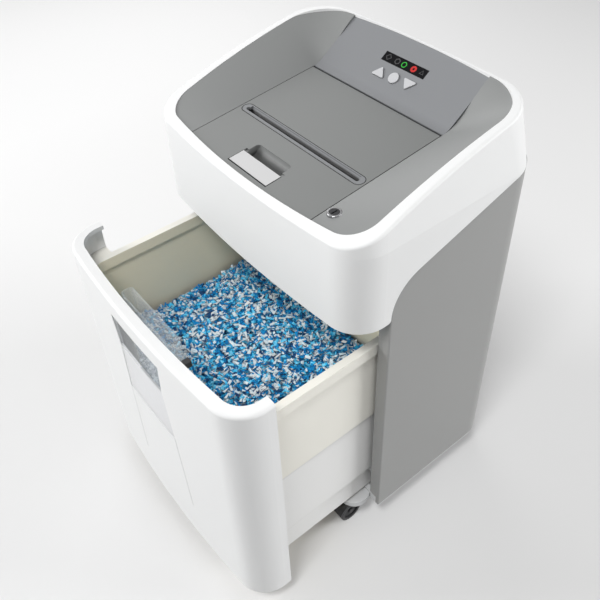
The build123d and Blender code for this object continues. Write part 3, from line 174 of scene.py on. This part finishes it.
class Finish(ShaderTree):
    """One material, built up node by node on its Principled shader."""

    def __init__(self, name, constants=None):
        self.material = bpy.data.materials.new(name)
        self.material.use_nodes = True
        super().__init__(self.material.node_tree)
        self.shader = self.tree.nodes["Principled BSDF"]
        self.give(constants or {})

    def give(self, inputs):
        for key, value in inputs.items():
            self.feed(self.shader.inputs[key], value)

    def place(self):
        return self.node("ShaderNodeTexCoord", output="Object")

    def noise(self, scale, detail=2.0, roughness=0.5, stretch=None):
        where = self.place()
        if stretch:
            where = self.node("ShaderNodeMapping", {}, {"Vector": where, "Scale": stretch})
        inputs = {"Vector": where, "Scale": scale, "Detail": detail, "Roughness": roughness}
        return self.node("ShaderNodeTexNoise", {}, inputs)

    def ramp(self, factor, stops):
        return self.node("ShaderNodeValToRGB", {"stops": stops}, {"Fac": factor})

    def blend(self, factor, first, second):
        return self.node("ShaderNodeMix", {"data_type": "RGBA"}, {0: factor, 6: first, 7: second}, output=2)

    def vector(self, operation, first, second, output=0):
        return self.node("ShaderNodeVectorMath", {"operation": operation}, {0: first, 1: second}, output)

    def painted_crevice_shade(self, reach, shut, clear):
        """How open a place is to the air within a reach: 0 in a seam, 1 on an open face, for painted shade.
        """
        openness = self.node("ShaderNodeAmbientOcclusion", {"samples": 8}, {"Distance": reach}, output=1)
        return self.ramp(openness, [(shut, plain_black), (clear, plain_white)])

    def bump(self, height, strength, distance):
        return self.node("ShaderNodeBump", {}, {"Height": height, "Strength": strength, "Distance": distance})


def shade(color, factor=1.0):
    """A colour made lighter or darker."""
    return (color[0] * factor, color[1] * factor, color[2] * factor, 1.0)


def plastic_skin(finish, color, tint, roughness, grain, flow, relief):
    """Painted shade in seams over a tint, a sheen that varies with the flow, and the grain's relief."""
    finish.give({
        "Base Color": finish.blend(finish.painted_crevice_shade(seam_shade_reach, 0.22, 0.62), shade(color, 0.1), tint),
        "Roughness": roughness - 0.05 + 0.06 * flow + 0.04 * grain,
        "Normal": finish.bump(grain, 0.35, relief),
    })
    return finish.material


def moulded(name, color, roughness, grain_size, relief, mottle=0.03, shine=0.5):
    """Moulded plastic: fine spark-eroded grain, faint flow mottling, handling sheen and painted shade in
    seams.
    """
    finish = Finish(name, {"Specular IOR Level": shine})
    grain = finish.noise(1.0 / grain_size, 3.0, 0.6)
    flow = finish.noise(9.0, 4.0, 0.55)
    tint = finish.blend(flow, shade(color, 1 - mottle), shade(color, 1 + mottle))
    return plastic_skin(finish, color, tint, roughness, grain, flow, relief)


def sunken_moulding(name, color, top, normal, stops):
    """Moulded plastic with painted shade that deepens with depth below a plane, given as depth in metres and
    brightness.
    """
    finish = Finish(name)
    grain = finish.noise(2000.0, 3.0, 0.6)
    flow = finish.noise(9.0, 4.0, 0.55)
    inward = finish.vector("SUBTRACT", tuple(top), finish.place())
    depth = finish.vector("DOT_PRODUCT", inward, tuple(normal), output=1)
    deepest = stops[-1][0]
    shades = [(reach / deepest, (bright, bright, bright, 1)) for reach, bright in stops]
    # Painted shade by depth below the lid's plane
    light = finish.ramp(depth * (1.0 / deepest), shades)
    tint = finish.blend(flow, shade(color, 0.98), shade(color, 1.02))
    tint = finish.blend(light, (0.004, 0.004, 0.004, 1), tint)
    return plastic_skin(finish, color, tint, 0.46, grain, flow, 0.00006)


def tub_moulding(name, outside, skirt, inside_painted_light, middle_y, steps, top):
    """Cloudy plastic tub: creamy on its upper outside, paler below its steps with a painted shadow under
    each, painted shade in its creases, and an inside painted warm and pale for the light within it.
    """
    finish = Finish(name)
    grain = finish.noise(900.0, 3.0, 0.6)
    place = finish.place()
    normal = finish.node("ShaderNodeNewGeometry", output="Normal")
    outward = finish.vector("SUBTRACT", place, (0, middle_y, 0))
    facing = finish.vector("DOT_PRODUCT", outward, normal, output=1)
    within = finish.node("ShaderNodeMath", {"operation": "LESS_THAN"}, {0: facing, 1: 0.0})
    height = finish.node("ShaderNodeSeparateXYZ", {}, {"Vector": place}, output="Z")
    # Colour up the wall by height, with a painted shadow that deepens over 10 mm under each step
    stops = [(0.0, shade(skirt))]
    for step, above in zip(steps, (skirt, outside)):
        stops += [((step - 0.010) / top, shade(skirt)), ((step - 0.001) / top, shade(skirt, 0.72))]
        stops += [(step / top, shade(above, 0.97)), ((step + 0.004) / top, shade(above))]
    wall_tone_and_shade = finish.ramp(height * (1.0 / top), stops)
    # The inside, painted paler and warmer for the light inside the tub
    wall_tone_and_shade = finish.blend(within, wall_tone_and_shade, shade(inside_painted_light))
    # Painted shade in the creases, within 12 mm
    finish.give({
        "Base Color": finish.blend(finish.painted_crevice_shade(0.012, 0.05, 0.9), shade(skirt, 0.45), wall_tone_and_shade),
        "Roughness": 0.38 + 0.06 * grain,
        "Normal": finish.bump(grain, 0.3, 0.00006),
    })
    return finish.material


def powder_coat(name, color):
    """Powder-coated sheet steel: orange peel with a fine speckle."""
    finish = Finish(name)
    peel = finish.noise(420.0, 2.0, 0.5)
    speckle = finish.noise(2400.0, 2.0, 0.6)
    slow = finish.noise(4.0, 3.0, 0.5)
    tint = finish.blend(speckle, shade(color, 0.93), shade(color, 1.07))
    finish.give({
        "Base Color": finish.blend(slow, tint, shade(color, 1.03)),
        "Roughness": 0.36 + 0.08 * speckle + 0.05 * slow,
        "Normal": finish.bump(peel + 0.4 * speckle, 0.3, 0.00012),
    })
    return finish.material


def worked_metal(name, color, roughness):
    """Plated or cut metal with marks that run along X and a little staining."""
    finish = Finish(name, {"Metallic": 1.0})
    marks = finish.noise(60.0, 4.0, 0.6, stretch=(1.0, 30.0, 30.0))
    stain = finish.noise(25.0, 4.0, 0.6)
    finish.give({
        "Base Color": finish.blend(stain, shade(color, 0.86), shade(color, 1.05)),
        "Roughness": roughness - 0.06 + 0.12 * marks + 0.08 * stain,
        "Normal": finish.bump(marks, 0.2, 0.00006),
    })
    return finish.material


def clear_moulding(name, color, roughness, body, edge_reflection):
    """Clear moulded plastic: nearly open seen face on, denser and brighter seen edge on as a painted
    reflection.
    """
    finish = Finish(name, {"Specular IOR Level": 0.7})
    facing = finish.node("ShaderNodeLayerWeight", {}, {"Blend": 0.35}, output="Facing")
    haze = finish.noise(140.0, 3.0, 0.5)
    finish.give({
        "Base Color": finish.blend(haze, shade(color, 0.96), shade(color)),
        "Roughness": roughness + 0.04 * haze,
        # Alpha that grows towards the edges is a painted reflection
        "Alpha": body + edge_reflection * facing + 0.04 * haze,
        "Normal": finish.bump(haze, 0.08, 0.0002),
    })
    return finish.material


def paper(name, color, other, patches, glow, gap_shade=(0.003, 0.035, 0.085), reach=0.2, clear=0.56):
    """Shred paper: print patches, fibre grain, painted shade in gaps and under what hangs over it, and a
    painted glow for light that passes through.
    """
    finish = Finish(name, {"Specular IOR Level": 0.3, "Emission Strength": glow})
    printed = finish.noise(patches, 2.0, 0.6)
    fibre = finish.noise(3200.0, 2.0, 0.7)
    mask = finish.ramp(printed, [(0.42, plain_black), (0.58, plain_white)])
    tint = finish.blend(mask, shade(color), shade(other))
    finish.give({
        "Base Color": finish.blend(finish.painted_crevice_shade(reach, 0.08, clear), shade(gap_shade), tint),
        "Emission Color": tint,
        "Roughness": 0.7 + 0.15 * fibre,
        "Normal": finish.bump(fibre, 0.2, 0.0001),
    })
    return finish.material


def display_lamp(name, color, glow):
    """Lit or unlit symbol of the display."""
    finish = Finish(name, {"Emission Strength": glow, "Roughness": 0.4})
    mottle = finish.noise(900.0, 2.0, 0.5)
    tint = finish.blend(mottle, shade(color, 0.8), shade(color, 1.1))
    finish.give({"Base Color": tint, "Emission Color": tint})
    return finish.material


# Places on the lid: its plane follows from the way that the latch slides
joints = {joint["name"]: joint for joint in frame["record"]["behaviour"]["joints"]}
slide = joints["latch_slide"]["axis"]
lid_normal = Vector((1, 0, 0)).cross(Vector(slide) * (1 if slide[1] > 0 else -1))
lid_turn = Matrix.Rotation(atan2(lid_normal.z, lid_normal.y) - pi / 2, 4, "X")
throat_low, throat_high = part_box("feed_throat")
lid_top = Vector((0, throat_high.y, throat_high.z))

# Finishes by material slot, and those of single nodes
bin_low, bin_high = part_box("waste_bin")
finishes = {
    "white_plastic": moulded("white_moulding", (0.785, 0.79, 0.79), 0.48, 0.0006, 0.00005, 0.008, 0.35),
    # The tub's third colour is its inside, painted paler and warmer for the light inside it
    "bin_plastic": tub_moulding(
        "ivory_tub", (0.82, 0.805, 0.74), (0.80, 0.80, 0.79), (0.98, 0.90, 0.70),
        (bin_low.y + bin_high.y) / 2, bin_steps, bin_high.z
    ),
    "grey_steel": powder_coat("grey_powder_coat", (0.29, 0.292, 0.288)),
    "grey_plastic": moulded("grey_moulding", (0.226, 0.232, 0.230), 0.46, 0.0005, 0.00006, 0.02),
    "base_plastic": moulded("pale_base", (0.62, 0.63, 0.64), 0.5, 0.0009, 0.00008, 0.02),
    "black_plastic": moulded("black_moulding", (0.022, 0.022, 0.024), 0.42, 0.0007, 0.00007, 0.1),
    "latch_plastic": moulded("pale_latch", (0.55, 0.55, 0.552), 0.4, 0.0005, 0.00005, 0.01),
    "button_plastic": moulded("button_moulding", (0.52, 0.525, 0.54), 0.36, 0.0007, 0.0001, 0.03),
    "display_plastic": moulded("display_glass", (0.006, 0.006, 0.007), 0.3, 0.0009, 0.00001, 0.1, 0.1),
    "clear_plastic": clear_moulding("clear_styrene", (0.80, 0.84, 0.87), 0.06, 0.04, 0.38),
    "frosted_plastic": clear_moulding("frosted_styrene", (0.88, 0.885, 0.90), 0.45, 0.60, 0.2),
    "sheet_steel": worked_metal("zinc_plate", (0.62, 0.63, 0.64), 0.38),
    "cutter_steel": worked_metal("oiled_cutter_steel", (0.36, 0.36, 0.37), 0.32),
    "bush_brass": worked_metal("turned_brass", (0.62, 0.46, 0.20), 0.3),
    "gear_plastic": moulded("nylon_gear", (0.76, 0.73, 0.62), 0.5, 0.001, 0.00006),
    "roller_rubber": moulded("roller_rubber", (0.035, 0.035, 0.036), 0.75, 0.0008, 0.00015, 0.1),
    "motor_black": powder_coat("motor_black", (0.03, 0.03, 0.032)),
    "board_green": moulded("solder_mask", (0.02, 0.13, 0.06), 0.35, 0.002, 0.00005, 0.1),
    "lock_chrome": worked_metal("lock_chrome", (0.42, 0.42, 0.43), 0.16),
    "wheel_plastic": moulded("caster_wheel", (0.028, 0.028, 0.03), 0.5, 0.0008, 0.00008, 0.1),
}
own_finishes = {
    "key_cylinder": worked_metal("key_steel", (0.07, 0.07, 0.073), 0.3),
    # The lid's finger recess and the throat's slot get painted shade by their depth
    "lid_panel": sunken_moulding(
        "lid_grey", (0.188, 0.194, 0.191), lid_top, lid_normal, ((0.001, 1.0), (0.006, 0.95), (0.010, 0.3))
    ),
    "feed_throat": sunken_moulding(
        "throat_grey", (0.24, 0.247, 0.257), lid_top, lid_normal,
        ((0.0004, 0.85), (0.0012, 0.55), (0.0022, 1.0), (0.0036, 0.6), (0.0048, 0.0))
    ),
    "control_panel": moulded("panel_grey", (0.208, 0.214, 0.224), 0.46, 0.0005, 0.00006, 0.02),
    "sight_window": clear_moulding("clear_window", (0.82, 0.86, 0.89), 0.05, 0.05, 0.14),
}
for part in frame["record"]["subparts"]:
    slot_finish = finishes.get(part["material_slot"])
    if slot_finish:
        materials = nodes[part["node"]].data.materials
        materials.clear()
        materials.append(own_finishes.get(part["node"], slot_finish))


def mesh_object(name, bm, material):
    """Turn a bmesh into an object of the scene."""
    mesh = bpy.data.meshes.new(name)
    bm.to_mesh(mesh)
    bm.free()
    mesh.materials.append(material)
    made = bpy.data.objects.new(name, mesh)
    bpy.context.scene.collection.objects.link(made)
    return made


def new_piece(name, bm, material, body):
    """Turn a bmesh into a piece that rides on a body."""
    piece = mesh_object(name, bm, material)
    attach(piece, body)
    return piece


# Heap of shreds in the bin: a lumpy bed under loose chips of white, blue, pale blue and navy paper
heap_low, heap_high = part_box("shredded_paper")
heap_middle = Vector(((heap_low.x + heap_high.x) / 2, (heap_low.y + heap_high.y) / 2, 0))
heap_half = Vector(((heap_high.x - heap_low.x) / 2, (heap_high.y - heap_low.y) / 2, 0))
tray_low, tray_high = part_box("card_tray")

# Lumps of the heap: rise in metres, rate per metre and layer of the noise
lump_kinds = ((0.010, 14, 0.3), (0.004, 45, 1.7))


def heap_height(x, y):
    """Top of the heap at a place in the bin: crowned, banked to the right rear, low under the card tray."""
    across = (x - heap_middle.x) / heap_half.x
    along = (y - heap_middle.y) / heap_half.y
    crown = heap_crown * (1 - across * across) * (1 - 0.6 * along * along)
    bank = heap_bank * max(0.0, across - 0.1) * min(1.0, max(0.0, along + 0.35))
    lumps = sum(rise * noise.noise(Vector((x * rate, y * rate, layer))) for rise, rate, layer in lump_kinds)
    height = heap_level + crown + bank + lumps
    if abs(x) < tray_high.x - tray_margin and y < tray_high.y + tray_margin:
        height = min(height, tray_low.z - tray_drop)
    return height


# Shred finishes; the last number of each is a painted glow for light that passes through the paper
shred_white = paper("shred_white", (0.92, 0.93, 0.94), (0.72, 0.88, 0.97), 220.0, 0.1)
shred_blue = paper("shred_blue", (0.003, 0.14, 0.42), (0.008, 0.33, 0.72), 260.0, 0.15)
shred_pale = paper("shred_pale_blue", (0.03, 0.50, 0.86), (0.22, 0.70, 0.95), 240.0, 0.17)
shred_dark = paper("shred_navy", (0.012, 0.045, 0.15), (0.02, 0.11, 0.30), 260.0, 0.0)
shred_under = paper("shred_under", (0.01, 0.14, 0.36), (0.30, 0.48, 0.62), 170.0, 0.0)

bed = bmesh.new()
bed_half = heap_half - Vector((bed_inset, bed_inset, 0))
bmesh.ops.create_grid(bed, x_segments=56, y_segments=44, size=1.0)
bmesh.ops.scale(bed, vec=(bed_half.x, bed_half.y, 1), verts=bed.verts)
bmesh.ops.translate(bed, vec=heap_middle, verts=bed.verts)
for vertex in bed.verts:
    past_x = abs(vertex.co.x - heap_middle.x) - (bed_half.x - heap_corner)
    past_y = abs(vertex.co.y - heap_middle.y) - (bed_half.y - heap_corner)
    past = sqrt(past_x * past_x + past_y * past_y)
    if past_x > 0 and past_y > 0 and past > heap_corner:
        pull = 1 - heap_corner / past
        vertex.co.x -= (1 if vertex.co.x > heap_middle.x else -1) * past_x * pull
        vertex.co.y -= (1 if vertex.co.y > heap_middle.y else -1) * past_y * pull
    vertex.co.z = heap_height(vertex.co.x, vertex.co.y) - bed_sink
bed_piece = new_piece("shred_bed", bed, shred_under, "drawer")
thickness = bed_piece.modifiers.new("depth", "SOLIDIFY")
thickness.thickness = bed_depth
thickness.offset = -1.0
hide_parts("shredded_paper")


def chip_shape(width, length, twist, lift, taper):
    """One paper chip: a thin slip whose far end is turned, lifted and narrowed."""
    bm = bmesh.new()
    bmesh.ops.create_cube(bm, size=1.0)
    bmesh.ops.scale(bm, vec=(width, length, chip_thickness), verts=bm.verts)
    far = [vertex for vertex in bm.verts if vertex.co.y > 0]
    bmesh.ops.scale(bm, vec=(taper, 1, 1), verts=far)
    bmesh.ops.rotate(bm, cent=(0, 0, 0), matrix=Matrix.Rotation(twist, 3, "Y"), verts=far)
    bmesh.ops.translate(bm, vec=(0, 0, lift), verts=far)
    mesh = bpy.data.meshes.new("chip")
    bm.to_mesh(mesh)
    bm.free()
    return mesh


draw = random.Random(41)
chip_shapes = [
    chip_shape(
        draw.uniform(*chip_width), draw.uniform(*chip_length),
        draw.uniform(*chip_twist), draw.uniform(*chip_lift), draw.uniform(*chip_taper)
    )
    for _ in range(14)
]


def scatter(bm, shape, place, tilt):
    """Add a chip at a place, turned at random and tilted by up to an angle."""
    turn = Matrix.Rotation(draw.uniform(0, 2 * pi), 4, "Z")
    lean = Matrix.Rotation(draw.uniform(-tilt, tilt), 4, "X")
    roll = Matrix.Rotation(draw.uniform(-tilt, tilt), 4, "Y")
    pose = Matrix.Translation(place) @ turn @ lean @ roll
    shape.transform(pose)
    bm.from_mesh(shape)
    shape.transform(pose.inverted())


# Each colour of chip with its count and how far it rises out of the heap
chip_kinds = (
    ("white_shreds", shred_white, 3900, 1.1),
    ("blue_shreds", shred_blue, 3900, 1.0),
    ("pale_shreds", shred_pale, 2700, 1.0),
    ("navy_shreds", shred_dark, 1000, 1.0),
)
for name, material, count, loft in chip_kinds:
    chips = bmesh.new()
    placed = 0
    while placed < count:
        x = draw.uniform(-1, 1) * (heap_half.x - chip_margin)
        y = draw.uniform(-1, 1) * (heap_half.y - chip_margin)
        past_x = max(0.0, abs(x) - (heap_half.x - heap_corner))
        past_y = max(0.0, abs(y) - (heap_half.y - heap_corner))
        if past_x * past_y > 0 and sqrt(past_x * past_x + past_y * past_y) > heap_corner - chip_margin:
            continue
        x += heap_middle.x
        y += heap_middle.y
        rise = draw.uniform(*chip_rise) * loft
        scatter(chips, draw.choice(chip_shapes), Vector((x, y, heap_height(x, y) + rise)), chip_tilt)
        placed += 1
    chip_piece = new_piece(name, chips, material, "drawer")
    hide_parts("shredded_paper")

# Cut cards in the clear tray behind the window, with a painted glow and painted shade in their gaps
card_silver = paper(
    "card_silver", (0.80, 0.87, 0.92), (0.04, 0.09, 0.14), 100.0, 0.3,
    gap_shade=(0.16, 0.17, 0.18), reach=0.007, clear=0.12
)
cards = bmesh.new()
for _ in range(card_count):
    place = Vector((
        draw.uniform(tray_low.x + card_end_margin, tray_high.x - card_end_margin),
        draw.uniform(tray_low.y + card_side_margin, tray_high.y - card_side_margin),
        draw.uniform(tray_low.z + card_floor_margin, card_top),
    ))
    scatter(cards, draw.choice(chip_shapes), place, card_tilt)
new_piece("card_shreds", cards, card_silver, "drawer")


def flat_ring(sides, radius, other_radius):
    """Flat ring between two radii."""
    bm = bmesh.new()
    bmesh.ops.create_circle(bm, cap_ends=False, segments=sides, radius=radius)
    spread = bmesh.ops.extrude_edge_only(bm, edges=bm.edges[:])
    moved = [item for item in spread["geom"] if isinstance(item, bmesh.types.BMVert)]
    ratio = other_radius / radius
    bmesh.ops.scale(bm, vec=(ratio, ratio, 1), verts=moved)
    return bm


def thicken(bm, depth):
    """Give flat faces a thickness, from their plane upwards."""
    raised = bmesh.ops.extrude_face_region(bm, geom=bm.faces[:])
    tops = [item for item in raised["geom"] if isinstance(item, bmesh.types.BMVert)]
    bmesh.ops.translate(bm, vec=(0, 0, depth), verts=tops)
    bmesh.ops.recalc_face_normals(bm, faces=bm.faces)


# Painted shadow in the lid's gaps: dark strips round the feed throat and round the latch
gap_shadow_black = moulded("seam_shadow", (0.02, 0.02, 0.02), 0.8, 0.001, 0.00001, 0.1, 0.0)
throat_middle = (throat_low + throat_high) / 2
throat_half = throat_high - throat_middle
throat_seat = throat_middle + lid_normal * (lid_top - throat_middle).dot(lid_normal)


def lid_shadow_sheet(name, bm):
    """Lay a flat dark shape on the lid as painted shadow, drawn from the middle of the throat."""
    thicken(bm, shadow_sheet_thickness)
    bmesh.ops.transform(bm, matrix=Matrix.Translation(throat_seat) @ lid_turn, verts=bm.verts)
    new_piece(name, bm, gap_shadow_black, "lid")


throat_ring = flat_ring(48, throat_half.y, throat_half.y + throat_shadow_width)
for vertex in throat_ring.verts:
    vertex.co.x += (throat_half.x - throat_half.y) * (1 if vertex.co.x > 0 else -1)
lid_shadow_sheet("throat_gap_shadow", throat_ring)


def shadow_strip(name, low, high):
    """Strip of painted shadow on the lid between two corners, given across it and along it from the throat.
    """
    bm = bmesh.new()
    bmesh.ops.create_grid(bm, x_segments=1, y_segments=1, size=0.5)
    bmesh.ops.scale(bm, vec=(high[0] - low[0], high[1] - low[1], 1), verts=bm.verts)
    bmesh.ops.translate(bm, vec=((low[0] + high[0]) / 2, (low[1] + high[1]) / 2, 0), verts=bm.verts)
    lid_shadow_sheet(name, bm)


latch_low, latch_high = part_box("lid_latch")
along_lid = lid_turn @ Vector((0, 1, 0))
latch_front = (Vector((0, latch_low.y, latch_low.z)) - throat_seat).dot(along_lid)
latch_rear = (Vector((0, latch_high.y, latch_high.z)) - throat_seat).dot(along_lid)
latch_side = (latch_high.x - latch_low.x) / 2 + latch_clearance
latch_edge = latch_side + latch_shadow_width
shadow_front = latch_front - latch_shadow_width
shadow_strip("latch_front_gap_shadow", (-latch_edge, shadow_front), (latch_edge, latch_front - latch_clearance))
shadow_strip("latch_left_gap_shadow", (-latch_edge, latch_front), (-latch_side, latch_rear))
shadow_strip("latch_right_gap_shadow", (latch_side, latch_front), (latch_edge, latch_rear))

# Lamps in the display, whose face lies above the middle of its box by half of its thickness
press = joints["power_press"]["axis"]
console_turn = Matrix.Rotation(atan2(press[1], -press[2]), 4, "X")
display_low, display_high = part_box("display_window")
display_length = display_high.x - display_low.x
display_top = (display_low + display_high) / 2 + console_turn @ Vector((0, 0, display_thickness / 2))
lamp_green = display_lamp("lamp_green", (0.02, 0.36, 0.03), 0.25)
lamp_red = display_lamp("lamp_red", (0.40, 0.01, 0.008), 0.35)
lamp_off = display_lamp("lamp_off", (0.05, 0.05, 0.053), 0.0)


def symbol(name, share, up, sides, outer, inner, material):
    """Ring on the display, at a share of its length from the middle and metres up its face."""
    bm = flat_ring(sides, outer, inner)
    thicken(bm, lamp_thickness)
    bmesh.ops.translate(bm, vec=(share * display_length, up, lamp_lift), verts=bm.verts)
    bmesh.ops.transform(bm, matrix=Matrix.Translation(display_top) @ console_turn, verts=bm.verts)
    new_piece(name, bm, material, "cabinet")


symbol("lamp_bin", -0.385, 0.0004, 4, 0.0052, 0.0038, lamp_off)
symbol("lamp_door", -0.17, 0.0, 6, 0.0050, 0.0034, lamp_off)
symbol("lamp_ready", -0.01, -0.0003, 20, 0.0044, 0.0031, lamp_green)
symbol("lamp_fault", 0.21, 0.0, 8, 0.0050, 0.0018, lamp_red)
symbol("lamp_feed", 0.395, 0.0, 3, 0.0044, 0.0028, lamp_off)


# Studio: pale floor that runs out of view, soft lamps, even surroundings
def floor_finish():
    """Floor paper with painted shade that greys it from pale at the left to a light grey at the right, and
    that bounces less light.
    """
    finish = Finish("pale_floor", {"Roughness": 0.6, "Specular IOR Level": 0.2})
    across = finish.node("ShaderNodeSeparateXYZ", {}, {"Vector": finish.place()}, output="X")
    seen = finish.seen()
    # Painted shade across the floor, from pale at the left to grey at the right
    painted_falloff = (across - painted_falloff_start) * (1 / painted_falloff_span)
    lit = finish.ramp(painted_falloff, [(0.0, shade(plain_white, floor_pale)), (1.0, shade(plain_white, floor_painted_shade))])
    finish.give({"Base Color": finish.blend(seen, shade(plain_white, floor_bounce), lit)})
    glow = finish.node("ShaderNodeEmission", {}, {"Color": plain_white, "Strength": 1.0})
    matt = Field(finish, finish.shader.outputs["BSDF"])
    surface = finish.node("ShaderNodeMixShader", {}, {0: floor_glow * seen, 1: matt, 2: glow})
    finish.feed(finish.tree.nodes["Material Output"].inputs["Surface"], surface)
    return finish.material


floor_paper = bmesh.new()
bmesh.ops.create_grid(floor_paper, x_segments=8, y_segments=8, size=floor_half)
studio_floor = mesh_object("studio_floor", floor_paper, floor_finish())


def softbox(name, place, aim, size, watts):
    """Square area lamp turned towards a point."""
    lamp = bpy.data.lights.new(name, "AREA")
    lamp.size = size
    lamp.energy = watts
    holder = bpy.data.objects.new(name, lamp)
    bpy.context.scene.collection.objects.link(holder)
    holder.location = place
    holder.rotation_euler = (Vector(aim) - Vector(place)).to_track_quat("-Z", "Y").to_euler()


softbox("front_softbox", (-3.2, -3.0, 2.0), (0, -0.1, 0.45), 2.4, 150)
softbox("bin_softbox", (0.65, -1.05, 2.6), (0, -0.15, 0.3), 0.6, 36)
softbox("left_softbox", (-1.9, 0.9, 1.4), (-0.7, 0.4, 0), 1.2, 9)
softbox("right_softbox", (1.8, 2.2, 1.2), (0, 0, 0.35), 1.6, 58)

world = bpy.data.worlds.new("studio_air")
world.use_nodes = True
background = world.node_tree.nodes["Background"]
background.inputs["Color"].default_value = plain_white
air = ShaderTree(world.node_tree)
air.feed(background.inputs["Strength"], air_light + air_gain * air.seen())
bpy.context.scene.world = world
bpy.context.scene.view_settings.view_transform = "Standard"

# Camera at the photograph's place: angles in degrees, lens in millimetres, shift in pixels of the photograph
camera_azimuth = radians(53.04)
camera_elevation = radians(41.11)
camera_roll = radians(-2.53)
camera_place = (0.63114, -0.45065, 1.11784)
photo_width = 600
photo_shift = -50
back = Vector((
    sin(camera_azimuth) * cos(camera_elevation),
    -cos(camera_azimuth) * cos(camera_elevation),
    sin(camera_elevation),
))
level_right = (-back).cross(Vector((0, 0, 1))).normalized()
level_up = level_right.cross(-back)
right = cos(camera_roll) * level_right + sin(camera_roll) * level_up
up = -sin(camera_roll) * level_right + cos(camera_roll) * level_up
lens = bpy.data.cameras.new("photo_camera")
lens.sensor_width = 36.0
lens.lens = 43.71
lens.shift_y = photo_shift / photo_width
lens.clip_start = 0.01
camera = bpy.data.objects.new("photo_camera", lens)
bpy.context.scene.collection.objects.link(camera)
camera.matrix_world = Matrix.Translation(camera_place) @ Matrix((right, up, back)).transposed().to_4x4()
bpy.context.scene.camera = camera
